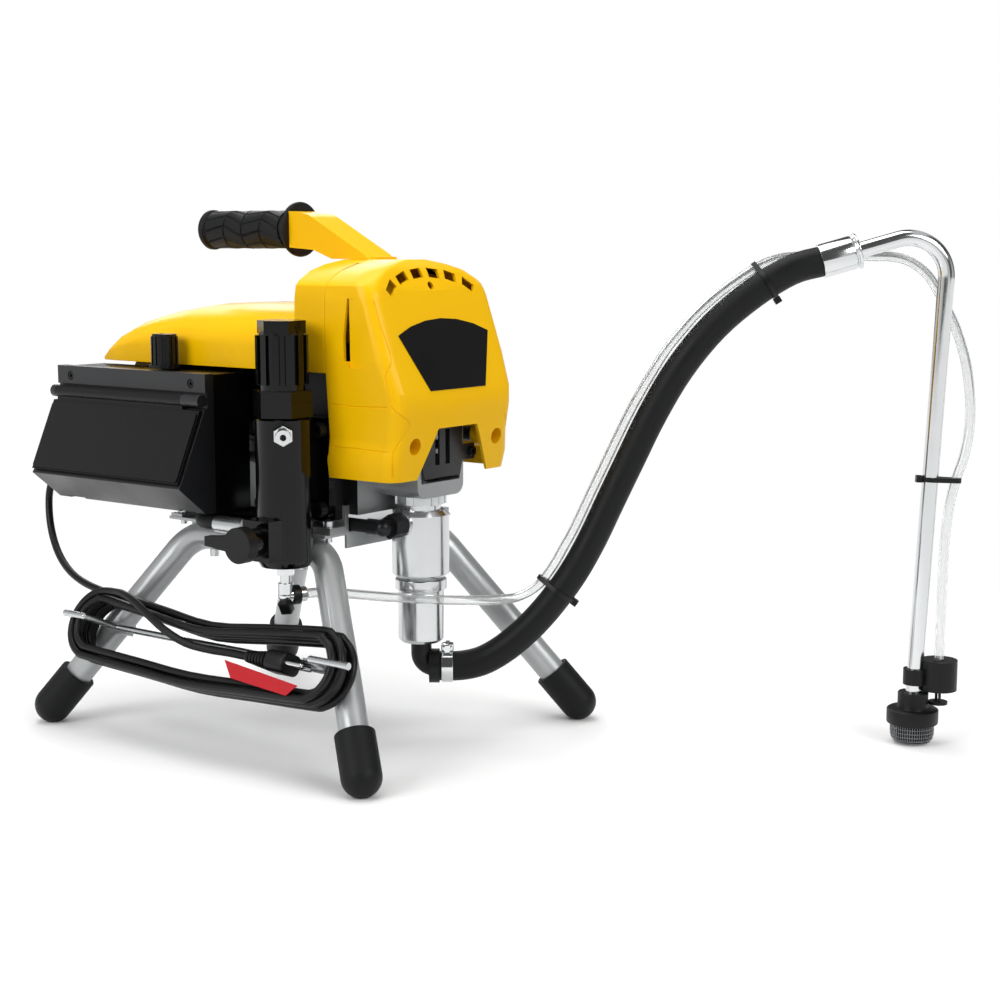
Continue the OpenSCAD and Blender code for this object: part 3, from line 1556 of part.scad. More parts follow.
module power_plug() {
  at = to_world([plug_at[0], plug_at[1], hank_z + plug_at[2]]);
  tail = [for (p = tail_mid) to_world([p[0], p[1], hank_z + p[2]])];
  color(rubber_black) {
    sweep(spline(concat([hank_last - [0, 0.6, 0], hank_last - [0, 8, 0]], tail, [at + [0, 8, 0], at]), 2),
      cord_d, 8, [1, 0, 0]);
    translate(at)
      rotate([90, leg_tilt, 0]) {
        cylinder(h = 30, d1 = 10, d2 = 18);
        translate([0, 0, 29])
          linear_extrude(20)
            rounded(24, 18, 7);
        for (x = [-7, 7])
          translate([x, 0, 48])
            cylinder(h = 19, d = 4.8);
      }
  }
}

// Bare flag round the outermost lower runs
module cord_tag() {
  x = -hank_off - (hank_layers - 1) * hank_pitch - cord_d / 2 - 1.1;
  color("#d0202a")
    leg_plane()
      translate([x, 0, 0])
        rotate([90, 0, 90])
          linear_extrude(0.8)
            polygon([[-48, hank_z - 9], [-61, hank_z - 23], [-126, hank_z - 28],
              [-135, hank_z - 18]]);
}

// ---------------------------------------------------------------- covers

function cover_ring(z, h, inset, back) =
  let (w = lookup(z, cover_half) - inset, f = lookup(z, cover_face) - inset,
    r = min(14, w - 2))
  concat([[-w, back, h]],
    [for (k = [0:corner_steps]) let (a = 90 * k / corner_steps)
      [-w + r - r * cos(a), -f + r - r * sin(a), h]],
    [for (k = [0:corner_steps]) let (a = 90 * k / corner_steps)
      [w - r + r * sin(a), -f + r - r * cos(a), h]],
    [[w, back, h]]);

module front_solid(inset, back, low) {
  levels = [for (z = cover_levels) if (z < cover_top - inset) z];
  loft([for (i = [0:len(levels)])
    let (z = i < len(levels) ? levels[i] : cover_top - inset)
    cover_ring(i < len(levels) ? z : cover_top, i == 0 ? z - low : z, inset, back)]);
}

module front_cover() {
  color(shell_yellow)
    difference() {
      union() {
        difference() {
          front_solid(0, seam_y, 0);
          front_solid(cover_wall, seam_y + 5, 5);
        }
        for (sx = [-1, 1])
          intersection() {
            y_cyl(sx * post_x, post_z, -180, post_front - 0.1, 20);
            front_solid(0.1, seam_y, 0);
          }
      }
      // the notch between the towers
      plate_xz(-200, -100)
        polygon([[-52, tower_z - 9], [-notch_half, notch_top], [notch_half, notch_top],
          [52, tower_z - 9]]);
      for (sx = [-1, 1]) {
        y_cyl(sx * post_x, post_z, -200, post_front - cover_wall - 0.1, 14);
        y_cyl(sx * post_x, post_z, -200, -100, screw_d + 0.5);
      }
      for (v = brow_vents)
        translate([v[0], 0, cover_top + v[1]])
          rotate([0, v[2], 0])
            block(-7, 7, -180, -118, -4, 4);
      y_cyl(0, cover_top - 22, -180, -118, 7);
    }
}

module mid_outline(inset) {
  half = concat([for (z = mid_levels) [lookup(z, cover_half) - inset, min(z, cover_top - inset)]],
    [[18 - inset, cover_top - inset]]);
  polygon(concat(half, [for (i = [len(half) - 1:-1:0]) [-half[i][0], half[i][1]]]));
}

module mid_cover() {
  color(shell_yellow)
    difference() {
      union() {
        difference() {
          plate_xz(seam_y + 0.05, mid_back)
            mid_outline(0);
          plate_xz(seam_y - 1, mid_back - cover_wall)
            intersection() {
              mid_outline(cover_wall);
              translate([-90, rear_low - 5])
                square([180, 200]);
            }
        }
        // rib that rests on the gearbox
        plate_xz(-70, -67)
          difference() {
            mid_outline(1);
            translate([-90, 0])
              square([180, gearbox_top + seat_gap]);
            translate([-40, 0])
              square([80, 400]);
          }
      }
      block(-stem_half - 0.5, stem_half + 0.5, stem_y - 19, stem_y + 13.5, cover_top - 44,
        cover_top + 16);
      plate_xz(mid_back - 5, mid_back + 1)
        polygon([[-73, rear_low - 1], [-73, 352], [-52, 374], [52, 374], [73, 352],
          [73, rear_low - 1]]);
    }
}

// Rear cover: arched rings along the motor, closing at its rear end
function rear_ring(y, drop, inset, low) =
  let (h = rear_top - drop - inset - rear_low)
  concat([for (p = rear_arch) [-(p[0] - inset - drop * 0.12), y, rear_low - low + (h + low)
    * p[1]]],
    [for (i = [len(rear_arch) - 1:-1:0]) [rear_arch[i][0] - inset - drop * 0.12, y,
      rear_low - low + (h + low) * rear_arch[i][1]]]);

module rear_solid(inset, low) {
  loft([for (i = [0:len(rear_stations) - 1])
    let (s = rear_stations[i], y = i == 0 ? s[0] - low : s[0] - (i > 5 ? inset : 0))
    rear_ring(y, s[1], inset, low)]);
}

module rear_cover() {
  color(shell_yellow)
    difference() {
      rear_solid(0, 0);
      difference() {
        rear_solid(cover_wall, 3);
        for (y = [16, 126])
          plate_xz(y, y + 3)
            difference() {
              translate([-90, rear_low])
                square([180, 80]);
              translate([0, axis_z])
                circle(d = can_d + 2 * seat_gap);
            }
      }
    }
}

// ---------------------------------------------------------------- handle

module handle_arm() {
  root_z = cover_top + 0.2;
  side = [[grip_front - 0.1, grip_z - 16], [-20, grip_z - 18], [-42, root_z], [-85, root_z],
    [-80, root_z + 4], [-20, grip_z + 10], [-14, grip_z + 13], [grip_front - 0.1, grip_z + 16]];
  color(shell_yellow)
    difference() {
      union() {
        rotate([90, 0, 90])
          translate([0, 0, -17])
            linear_extrude(34)
              polygon(side);
        block(-stem_half, stem_half, stem_y - 17, stem_y + 13, gearbox_top + 8, root_z + 2);
        block(-30, 30, stem_y - 10, stem_y + 10, gearbox_top + 0.1, gearbox_top + 8.05);
        y_cyl(0, grip_z, grip_front - 2, grip_front + grip_len - 6, 20);
      }
      // hollow under the arm
      rotate([90, 0, 90])
        translate([0, 0, -13])
          linear_extrude(26)
            polygon([[3, grip_z - 20], [3, grip_z - 10], [-12, grip_z - 9],
              [-46, root_z + 8], [-56, root_z + 4], [-52, root_z - 4], [-30, root_z - 4]]);
      for (sx = [-1, 1])
        up_cyl(sx * 20, stem_y, gearbox_top - 1, gearbox_top + 9, 8.4);
    }
}

module grip() {
  color(rubber_black)
    difference() {
      union() {
        y_cyl(0, grip_z, grip_front, grip_front + 4, flange_d);
        y_cyl(0, grip_z, grip_front + 3, grip_front + 13, grip_d - 5);
        y_cyl(0, grip_z, grip_front + 12, grip_front + grip_len - 1, grip_d - 2);
        for (a = [0:20:340])
          translate([0, 0, grip_z])
            rotate([0, a, 0])
              for (k = [0:3])
                block(grip_d / 2 - 2, grip_d / 2, grip_front + 14 + 28 * k,
                  grip_front + 38 + 28 * k, -1.8, 1.8);
        y_cyl(0, grip_z, grip_front + grip_len - 2, grip_front + grip_len, grip_d + 3);
      }
      y_cyl(0, grip_z, grip_front - 1, grip_front + grip_len - 5, 20 + 2 * fit_gap);
    }
}

// Bare fan-shaped plate on the flat of the front cover
module badge_plate() {
  low = 316;
  high = 376;
  lean = atan2(lookup(low, cover_face) - lookup(high, cover_face), high - low);
  color(plastic_black)
    translate([0, -lookup(low, cover_face) - 0.05, low])
      rotate([90 - lean, 0, 0])
        linear_extrude(0.8)
          polygon([[-37, 0], [37, 0], [60, 49], [42, 56], [21, 60.5], [0, 62], [-21, 60.5],
            [-42, 56], [-60, 49]]);
}

// Slotted guard in front of the connecting rod, with its rubber lip
module yoke_guard() {
  color("#4c4f52")
    difference() {
      union() {
        plate_xz(nose_front - 2.1, nose_front - 0.1)
          polygon([[-24, 239], [24, 239], [27, 251], [44, 251], [44, 265], [27, 265], [27, 292],
            [-27, 292], [-27, 265], [-44, 265], [-44, 251], [-27, 251]]);
        block(-nose_half + nose_wall + 0.3, nose_half - nose_wall - 0.3, nose_front - 1,
          nose_front + 3.4, 239, 247);
      }
      for (x = [-10, 4])
        plate_xz(nose_front - 4, nose_front + 5)
          translate([x, 250])
            square([6, 30]);
      for (x = [-ear_x, ear_x])
        y_cyl(x, ear_z, nose_front - 3, nose_front + 1, screw_d + 0.3);
    }
}

// ---------------------------------------------------------------- drawing

stand_left();
stand_right();
rubber_feet();
base_plate();
frame_bolts();
cord_rod();
drive_housing();
motor_can();
motor_end();
support_brackets();
motor_shaft();
armature();
fan();
bearings();
layshaft();
crankshaft();
crank_gear();
connecting_rod();
piston_rod();
pump_cylinder();
jam_nut();
foot_valve();
hose_fittings();
connecting_hose();
filter_manifold();
machine_screws();
filter_cap();
filter_element();
outlet_nipple();
valve_body();
prime_lever();
drain_fitting();
inlet_elbow();
hose_clamp();
suction_hose();
hose_sleeve();
suction_tube();
strainer();
drain_clip();
drain_hose();
cable_ties();
control_box();
control_bezel();
tool_door();
hinge_pin();
circuit_board();
pressure_knob();
switch_rocker();
strain_relief();
power_lead();
cord_hank();
power_plug();
cord_tag();
front_cover();
mid_cover();
rear_cover();
handle_arm();
grip();
badge_plate();
yoke_guard();
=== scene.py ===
# %% [markdown]
# # An airless paint sprayer
# The machine stands on four tube legs. A motor under the yellow covers drives a piston pump
# at the front, a hose takes the paint up from a bucket, and a filter on the side sends it out.
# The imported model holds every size. This lesson dresses it: rounded edges, moulded plastics,
# metals, rubber, and the cords and hoses.

# %% Load the fixed frame
import json
from math import atan, atan2, cos, pi, radians, sin, tan

import bmesh
import bpy
from mathutils import Matrix, Vector
from mathutils.bvhtree import BVHTree


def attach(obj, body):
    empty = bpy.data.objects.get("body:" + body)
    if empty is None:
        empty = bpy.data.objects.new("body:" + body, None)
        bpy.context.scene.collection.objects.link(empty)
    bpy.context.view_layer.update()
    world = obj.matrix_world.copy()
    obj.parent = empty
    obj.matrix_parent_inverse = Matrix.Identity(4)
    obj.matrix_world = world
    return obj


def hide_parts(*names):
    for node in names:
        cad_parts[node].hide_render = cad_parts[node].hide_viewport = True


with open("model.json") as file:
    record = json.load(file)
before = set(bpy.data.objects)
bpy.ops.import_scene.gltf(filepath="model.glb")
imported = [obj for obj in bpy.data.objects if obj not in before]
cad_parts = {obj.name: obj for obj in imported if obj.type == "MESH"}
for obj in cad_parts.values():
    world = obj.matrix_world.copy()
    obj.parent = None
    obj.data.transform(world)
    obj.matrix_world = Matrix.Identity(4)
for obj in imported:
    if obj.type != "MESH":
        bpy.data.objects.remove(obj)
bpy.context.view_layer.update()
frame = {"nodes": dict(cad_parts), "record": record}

nodes = frame["nodes"]
body_of_node = {n: b for b, ns in frame["record"]["behaviour"]["bodies"].items() for n in ns}

# %% [markdown]
# ## Camera
# A camera is placed by the three directions of its picture: right, up and forward. It stands
# about 1.6 metres away, and its long lens of 65 mm keeps the legs nearly parallel.

# %% Camera
right = Vector((0.6060, -0.7955, 0.0))
up = Vector((0.1134, 0.0864, 0.9898))
forward = Vector((0.7874, 0.5998, -0.1426))
camera = bpy.data.objects.new("camera", bpy.data.cameras.new("camera"))
bpy.context.scene.collection.objects.link(camera)
turned = Matrix((right, up, -forward)).transposed().to_4x4()
camera.matrix_world = Matrix.Translation((-1.1905, -1.1209, 0.440)) @ turned
camera.data.lens = 64.8
camera.data.sensor_width = 36.0
camera.data.clip_start = 0.05
bpy.context.scene.camera = camera
bpy.context.scene.view_settings.view_transform = "Standard"

# %% [markdown]
# ## Routes of the hoses and the cord
# Flexible things come first, because they decide how much room the machine takes. Each has a
# route: a few points in millimetres, and a smooth curve through them. The suction hose lies in
# one upright plane that leaves the pump to the front right.

# %% A smooth route through a few points
MM = 0.001


def smooth(points, steps):
    """Points on a curve that passes through every given point."""
    out = []
    last = len(points) - 1
    for i in range(last):
        a, b = points[max(i - 1, 0)], points[i]
        c, d = points[i + 1], points[min(i + 2, last)]
        for k in range(steps):
            f = k / steps
            out.append(0.5 * (2 * b + (c - a) * f + (2 * a - 5 * b + 4 * c - d) * f * f
                              + (3 * b - a - 3 * c + d) * f * f * f))
    return out + [points[last]]


def run_of(points):
    return sum((b - a).length for a, b in zip(points, points[1:]))


plane_turn = radians(-52.7)
pump_y = 127.0


def from_plane(u, v, z):
    """A point of the upright hose plane: along it, square to it, and up."""
    return Vector((u * cos(plane_turn) - v * sin(plane_turn),
                   -pump_y + u * sin(plane_turn) + v * cos(plane_turn), z)) * MM


# %% The suction hose and the clear drain hose
tube_head, tube_lean = radians(16), radians(2.6)
bend_at, bend_r = (417.6, 409.4), 33.0


def tube_straight(s):
    """A point of the steel tube's first straight, s along from the start of its bend."""
    return from_plane(bend_at[0] - bend_r * sin(tube_head) + s * cos(tube_head), 0.0,
                      bend_at[1] + bend_r * cos(tube_head) + s * sin(tube_head))


suction_marks = [(16, 69.5), (34, 69.5), (52.5, 73.5), (70, 83), (87, 96.5), (103, 112.5),
                 (118.6, 131.5), (134.5, 154.5), (149.8, 182.6), (165.3, 216.3), (182.2, 252.4),
                 (201, 291.8), (224.2, 331.6), (253, 367.3), (286, 395.5)]
suction_route = smooth([from_plane(u, 0, z) for u, z in suction_marks]
                       + [tube_straight(-94.5), tube_straight(-68.5)], 4)

filter_x, filter_y = 111.0, 71.0
drain_turn = radians(30)


def drain_exit(l):
    """A point on the drain fitting's axis, l from the filter's axis."""
    way = plane_turn + drain_turn
    return Vector((-filter_x + l * cos(way), -filter_y + l * sin(way), 143.0)) * MM


drain_marks = [(-82, -37.4, 142.5), (-67, -33, 141), (-48, -31.5, 139), (-24, -31, 137),
               (2, -31, 135.5), (28, -29, 134), (50, -23, 132.5), (68, -14, 131.5),
               (84, -6.5, 132), (95, -2, 136), (104, 0, 142.5), (112, 0, 153), (119, 0, 164),
               (126, 0, 177), (133.5, 0, 190.7), (148.8, 0, 224), (165.7, 0, 260.2),
               (184.9, 0, 300.3), (209.2, 0.5, 341.9), (224, 1, 361.5), (240, 2, 379.6),
               (258.5, 3, 396.1), (274.5, 5, 407.5), (289, 8, 416.7), (301.5, 12, 422.3),
               (314.4, 15.5, 425.6), (328, 18, 426.5), (342, 19.4, 426), (359.3, 19.8, 426.2),
               (377.2, 19, 427), (394, 15.8, 426.8), (407, 14.2, 426.4), (419, 14, 423.6),
               (430, 14, 417.6), (439.5, 14, 408.8), (447, 13.6, 397.4), (454, 13, 384),
               (461, 12, 370), (467, 10.5, 354), (472, 8.5, 336), (475, 6, 316),
               (476.2, 3.5, 296), (475, 1.5, 275), (471, 0, 254), (465, 0, 235), (460.2, 0, 212),
               (457.8, 0, 190), (456.8, 0, 165), (456.3, 0, 137), (456, 0, 108), (456, 0, 90),
               (456, 0, 75)]
drain_route = smooth([drain_exit(18), drain_exit(26)] + [from_plane(*m) for m in drain_marks], 3)
print("suction hose", round(run_of(suction_route), 3), "drain hose", round(run_of(drain_route), 3))

# %% [markdown]
# The power cord leaves the back of the control box, drops to a hank of six long loops that
# rests on a steel rod along the left legs, and ends in its plug. The hank lies in the tilted
# plane of those legs, so its points are written there: outwards, along, and up the slope.

# %% The power cord: lead, hank and tail
rail_x, rail_z = 72.0, 177.0
leg_tilt = atan((151.0 - rail_x) / (rail_z - 16.0))
cord_d = 7.0
hank_pitch, hank_rings, hank_layers, hank_turns = cord_d + 0.6, 24, 4, 1.5
hank_grow = hank_turns * hank_pitch
hank_off = (25.4 + cord_d) / 2 + 0.4
hank_r, hank_mid = 21.0, -5.0
hank_run = 161.0 - hank_r - hank_grow
hank_z = -4.5 - (rail_z - 86.5) / cos(leg_tilt)
waist, droop, low_lift, climb = 9.0, 3.5, 6.0, 4


def from_legs(p):
    """A point of the left legs' tilted plane: outwards, along, up the slope."""
    return Vector((-rail_x + p[0] * cos(leg_tilt) + p[2] * sin(leg_tilt), p[1],
                   rail_z - p[0] * sin(leg_tilt) + p[2] * cos(leg_tilt))) * MM


def hank_point(j):
    half = hank_turns * hank_rings
    i = j - climb / 2
    k, f = divmod(i / half, 1)
    wave = 2 - f if i < 0 else (1 - f if k % 2 == 0 else f)
    k = j // half
    layer = 0 if k < 1 else (hank_layers - 1 if k >= hank_layers
                             else k - 1 + min(1, (j - k * half) / climb))
    r = hank_r + hank_grow * wave
    k = j % hank_rings
    a = radians((k - 4 if k < 12 else k - 16) * 22.5)
    f = (k % 12) / 4
    pull = sin(pi * f) ** 2
    if k < 4:
        y, z = hank_run * (1 - 2 * f), r - (waist + droop) * pull
    elif k < 12:
        y, z = -hank_run - r * sin(a), r * cos(a)
    elif k < 16:
        y, z = hank_run * (2 * f - 1), -r - low_lift * pull
    else:
        y, z = hank_run + r * sin(a), -r * cos(a)
    return from_legs((-hank_off - layer * hank_pitch, hank_mid + y, hank_z + z))


hank_marks = [hank_point(j) for j in range(int(hank_layers * hank_turns * hank_rings) + 1)]
box_exit = Vector((-92.0, 224.0, 230.0)) * MM
lead_marks = [(-40.6, 236.6, 36.6), (-38.4, 246.3, 30.6), (-35.2, 252.6, 21.7),
              (-31.6, 255, 11.2), (-28, 253.6, -1), (-24.8, 248.6, -14.9), (-22.4, 240, -28.8),
              (-20.9, 228, -41.9), (-20.2, 213, -52.9), (-19.9, 196, -61.2), (-19.5, 178, -66.6),
              (-18.8, 160, -69.8), (-17.8, 145, -71.4)]
tail_marks = [(-41, 110, 31.8), (-43.7, 98, 31), (-47, 78, 26), (-47.3, 54, 16), (-46, 30, 6),
              (-41, 6, -1), (-36, -18, -2), (-33, -40, -1)]
plug_at = from_legs((-32, -62, hank_z - 1))
cord_route = smooth([box_exit, box_exit + Vector((0, 3, 0)) * MM]
                    + [from_legs(p) for p in lead_marks]
                    + hank_marks
                    + [from_legs((x, y, hank_z + z)) for x, y, z in tail_marks]
                    + [plug_at + Vector((0, 8, 0)) * MM, plug_at], 3)
print("power cord", round(run_of(cord_route), 3))

# %% [markdown]
# ## Colours and nodes
# Hex colours are written as a screen shows them. Shaders work in linear light, so one function
# turns them. A second small function adds a node with its settings and links, so that every
# material below can be read from top to bottom.

# %% Colour and node helpers


def linear(hex_colour):
    """A screen colour such as '1c1d1f' as linear red, green, blue and alpha."""
    parts = [int(hex_colour[i:i + 2], 16) / 255 for i in (0, 2, 4)]
    return tuple(c / 12.92 if c <= 0.04045 else ((c + 0.055) / 1.055) ** 2.4
                 for c in parts) + (1.0,)


def add_node(tree, kind, settings=None, values=None, links=None):
    """A new node with its settings, the numbers on its sockets, and what feeds them."""
    node = tree.nodes.new(kind)
    for name, value in (settings or {}).items():
        setattr(node, name, value)
    for name, value in (values or {}).items():
        node.inputs[name].default_value = value
    for name, socket in (links or {}).items():
        tree.links.new(socket, node.inputs[name])
    return node


def start_material(name, colour, metallic, roughness, **sockets):
    """A material with its surface shader, and the piece's own coordinates."""
    material = bpy.data.materials.new(name)
    material.use_nodes = True
    tree = material.node_tree
    shader = tree.nodes["Principled BSDF"]
    shader.inputs["Base Color"].default_value = linear(colour)
    shader.inputs["Metallic"].default_value = metallic
    shader.inputs["Roughness"].default_value = roughness
    for name_, value in sockets.items():
        shader.inputs[name_.replace("_", " ")].default_value = value
    material.diffuse_color = linear(colour)
    where = add_node(tree, "ShaderNodeTexCoord").outputs["Object"]
    return material, tree, shader, where


def per_metre(size_mm):
    """Noise scale whose lumps are about size_mm across."""
    return 1000.0 / size_mm


# %% [markdown]
# ## Moulded and cast finishes
# Most of this machine is moulded, painted or cast. Two things give such a surface away: a fine
# bump from the mould or the spray, and a gloss that is not the same everywhere. Both come from
# noise whose size is a real size in millimetres.

# %% A finish with grain, and gloss that varies


def grained(name, colour, second, metallic, roughness, spread, grain_mm, depth_mm,
            patch_mm=45.0, **sockets):
    """Grain of grain_mm and depth_mm; colour and gloss drift over patches of patch_mm."""
    material, tree, shader, where = start_material(name, colour, metallic, roughness, **sockets)
    patches = add_node(tree, "ShaderNodeTexNoise", {}, {"Scale": per_metre(patch_mm),
                                                       "Detail": 5.0, "Roughness": 0.6},
                       {"Vector": where})
    grain = add_node(tree, "ShaderNodeTexNoise", {}, {"Scale": per_metre(grain_mm),
                                                     "Detail": 2.0, "Roughness": 0.5},
                     {"Vector": where})
    tint = add_node(tree, "ShaderNodeMix", {"data_type": "RGBA"}, {},
                    {"Factor": patches.outputs["Fac"]})
    tones = [s for s in tint.inputs if s.type == "RGBA"]
    tones[0].default_value, tones[1].default_value = linear(colour), linear(second)
    gloss = add_node(tree, "ShaderNodeMapRange", {},
                     {"From Min": 0.3, "From Max": 0.7, "To Min": roughness - spread,
                      "To Max": roughness + spread}, {"Value": patches.outputs["Fac"]})
    bump = add_node(tree, "ShaderNodeBump", {}, {"Strength": 1.0, "Distance": depth_mm * MM},
                    {"Height": grain.outputs["Fac"]})
    colour_out = [s for s in tint.outputs if s.type == "RGBA"][0]
    tree.links.new(colour_out, shader.inputs["Base Color"])
    tree.links.new(gloss.outputs["Result"], shader.inputs["Roughness"])
    tree.links.new(bump.outputs["Normal"], shader.inputs["Normal"])
    return material


# Glossy ABS, injection moulded: smooth with a faint orange peel
yellow_abs = grained("yellow_abs_moulded", "ffca00", "ffc000", 0.0, 0.32, 0.05, 2.2, 0.012,
                     Specular_IOR_Level=0.2)
# ABS with a spark-eroded mould texture: a dull, fine grain
black_abs = grained("black_abs_textured", "0c0c0d", "090909", 0.0, 0.27, 0.05, 0.9, 0.012,
                    Specular_IOR_Level=0.3)
# The same plastic in charcoal, smoother
grey_abs = grained("charcoal_abs_moulded", "232427", "1e1f21", 0.0, 0.34, 0.06, 1.6, 0.015)
# Polyester powder coat in silver: a soft metal look under a thin skin
silver_coat = grained("silver_powder_coat", "c2c4c5", "b6b9ba", 0.55, 0.36, 0.06, 1.1, 0.02)
# Sand-cast aluminium, shot blasted
cast_alloy = grained("cast_aluminium_blasted", "b3b5b6", "9fa1a3", 0.85, 0.44, 0.08, 1.4, 0.05)
# Black stoving enamel on machined alloy: deep gloss
black_enamel = grained("black_enamel_gloss", "040405", "070708", 0.0, 0.15, 0.05, 3.0, 0.008,
                       Coat_Weight=0.15, Coat_Roughness=0.08, Specular_IOR_Level=0.22)
# Natural rubber, press moulded: dull, with a slight bloom
black_rubber = grained("black_rubber_moulded", "0f1011", "151617", 0.0, 0.52, 0.08, 1.2, 0.03,
                       Specular_IOR_Level=0.22)
# Flexible PVC cord sheath: satin
cord_pvc = grained("black_pvc_sheath", "0a0a0b", "0f0f10", 0.0, 0.38, 0.05, 1.8, 0.01,
                   Specular_IOR_Level=0.3)
# Black oxide on steel screws
oxide_steel = grained("black_oxide_steel", "2a2b2d", "222325", 0.75, 0.38, 0.06, 1.0, 0.01)
# Printed badge foil: a flat black with a satin face
badge_foil = grained("black_badge_foil", "101011", "141415", 0.0, 0.34, 0.04, 6.0, 0.004,
                     Specular_IOR_Level=0.25)
# Glass-filled nylon: elbow, clips, ties, lever, fan and strainer
nylon = grained("black_nylon_moulded", "0a0a0b", "101011", 0.0, 0.42, 0.06, 1.0, 0.02,
                Specular_IOR_Level=0.28)
# Red vinyl tag
red_vinyl = grained("red_vinyl_sheet", "c9101f", "bd0d1b", 0.0, 0.28, 0.05, 4.0, 0.01)
# Green lacquered circuit board
board_lacquer = grained("green_board_lacquer", "2c6a3b", "22552f", 0.0, 0.3, 0.05, 2.0, 0.01)
# Varnished copper windings on steel laminations
winding = grained("varnished_copper_winding", "8c5a36", "6e4426", 0.6, 0.4, 0.08, 1.5, 0.05)

# %% [markdown]
# ## Bare metals
# Turned and plated steel is smooth, but never perfect: the tool leaves fine rings or lines
# that stretch the reflections. A noise that is squeezed along one axis draws such lines.

# %% Metals with tool marks


def worked_metal(name, colour, roughness, spread, line_mm, depth_mm, stretch):
    """Lines line_mm apart; stretch squeezes the noise along X, Y and Z."""
    material, tree, shader, where = start_material(name, colour, 1.0, roughness)
    turned_ = add_node(tree, "ShaderNodeMapping", {}, {"Scale": stretch}, {"Vector": where})
    lines = add_node(tree, "ShaderNodeTexNoise", {}, {"Scale": per_metre(line_mm),
                                                     "Detail": 3.0, "Roughness": 0.55},
                     {"Vector": turned_.outputs["Vector"]})
    smear = add_node(tree, "ShaderNodeTexNoise", {}, {"Scale": per_metre(30.0), "Detail": 4.0},
                     {"Vector": where})
    gloss = add_node(tree, "ShaderNodeMapRange", {},
                     {"From Min": 0.3, "From Max": 0.7, "To Min": roughness - spread,
                      "To Max": roughness + spread}, {"Value": smear.outputs["Fac"]})
    bump = add_node(tree, "ShaderNodeBump", {}, {"Strength": 1.0, "Distance": depth_mm * MM},
                    {"Height": lines.outputs["Fac"]})
    tree.links.new(gloss.outputs["Result"], shader.inputs["Roughness"])
    tree.links.new(bump.outputs["Normal"], shader.inputs["Normal"])
    return material


# Stainless steel, turned on a lathe: rings one above the other
turned_steel = worked_metal("turned_stainless_steel", "d3d5d6", 0.20, 0.05, 3.0, 0.010,
                            (0.12, 0.12, 4.0))
# Bright nickel plate: hardly any marks
nickel_plate = worked_metal("bright_nickel_plate", "dcdedf", 0.12, 0.04, 8.0, 0.004,
                            (1.0, 1.0, 1.0))
# Zinc-plated steel for bolts, rod and clamp: a little greyer
zinc_plate = worked_metal("zinc_plated_steel", "c9cccd", 0.26, 0.06, 4.0, 0.008,
                          (1.0, 1.0, 1.0))
# Ground gear and bearing steel
gear_steel = worked_metal("ground_gear_steel", "a9acae", 0.28, 0.06, 2.0, 0.008,
                          (1.0, 4.0, 1.0))

# %% [markdown]
# Clear PVC hose lets light through and bends it a little. It is drawn as a tube with a wall,
# so that light meets plastic, air, and plastic again, as it does in the real hose.

# %% Clear hose
clear_pvc, tree, shader, where = start_material("clear_pvc_extruded", "fbfcfc", 0.0, 0.10,
                                                Transmission_Weight=0.92, IOR=1.38)
cloud = add_node(tree, "ShaderNodeTexNoise", {}, {"Scale": per_metre(20.0), "Detail": 3.0},
                 {"Vector": where})
gloss = add_node(tree, "ShaderNodeMapRange", {}, {"From Min": 0.3, "From Max": 0.7,
                                                 "To Min": 0.06, "To Max": 0.16},
                 {"Value": cloud.outputs["Fac"]})
tree.links.new(gloss.outputs["Result"], shader.inputs["Roughness"])

# %% [markdown]
# ## Piece helpers
# A new piece is a mesh at the origin that rides on a body of the frame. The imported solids
# have razor edges, which real parts never have. So a visible solid is copied, its loose
# triangles are merged, flat faces are joined again, and its sharp edges get a small round.

# %% Make a piece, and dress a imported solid


def make_piece(name, mesh_or_bm, material, body, sharp=32.0):
    """An object at the origin with smooth faces, sharp only where faces turn more than sharp."""
    if isinstance(mesh_or_bm, bmesh.types.BMesh):
        mesh = bpy.data.meshes.new(name)
        mesh_or_bm.to_mesh(mesh)
        mesh_or_bm.free()
    else:
        mesh = mesh_or_bm
    piece = bpy.data.objects.new(name, mesh)
    bpy.context.scene.collection.objects.link(piece)
    mesh.materials.clear()
    mesh.materials.append(material)
    mesh.shade_smooth()
    mesh.set_sharp_from_angle(angle=radians(sharp))
    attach(piece, body)
    return piece


def level_shading(piece):
    """Large faces decide the shading, so that a small round doesn't bend the light on them."""
    normals = piece.modifiers.new("normals", "WEIGHTED_NORMAL")
    normals.keep_sharp, normals.weight = True, 60


def dress(node, material, edge_mm=0.0, segments=2, sharp=32.0, flat=1.0):
    """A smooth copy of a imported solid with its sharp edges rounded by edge_mm."""
    bm = bmesh.new()
    bm.from_mesh(nodes[node].data)
    bmesh.ops.remove_doubles(bm, verts=bm.verts, dist=1e-5)
    bmesh.ops.dissolve_limit(bm, angle_limit=radians(flat), verts=bm.verts, edges=bm.edges)
    if edge_mm:
        edges = [e for e in bm.edges if len(e.link_faces) == 2
                 and e.calc_face_angle(0.0) > radians(sharp)]
        bmesh.ops.bevel(bm, geom=edges, offset=edge_mm * MM, offset_type="OFFSET",
                        segments=segments, profile=0.5, affect="EDGES", clamp_overlap=True,
                        material=-1)
    piece = make_piece("dressed_" + node, bm, material, body_of_node[node], sharp=sharp)
    level_shading(piece)
    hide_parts(node)
    return piece


# %% [markdown]
# ## The flexible pieces
# A hose is a round profile drawn along its route. A curve object with a bevel depth does this
# without any mesh code, and stays a true tube wherever the route turns.

# %% Cord and hoses


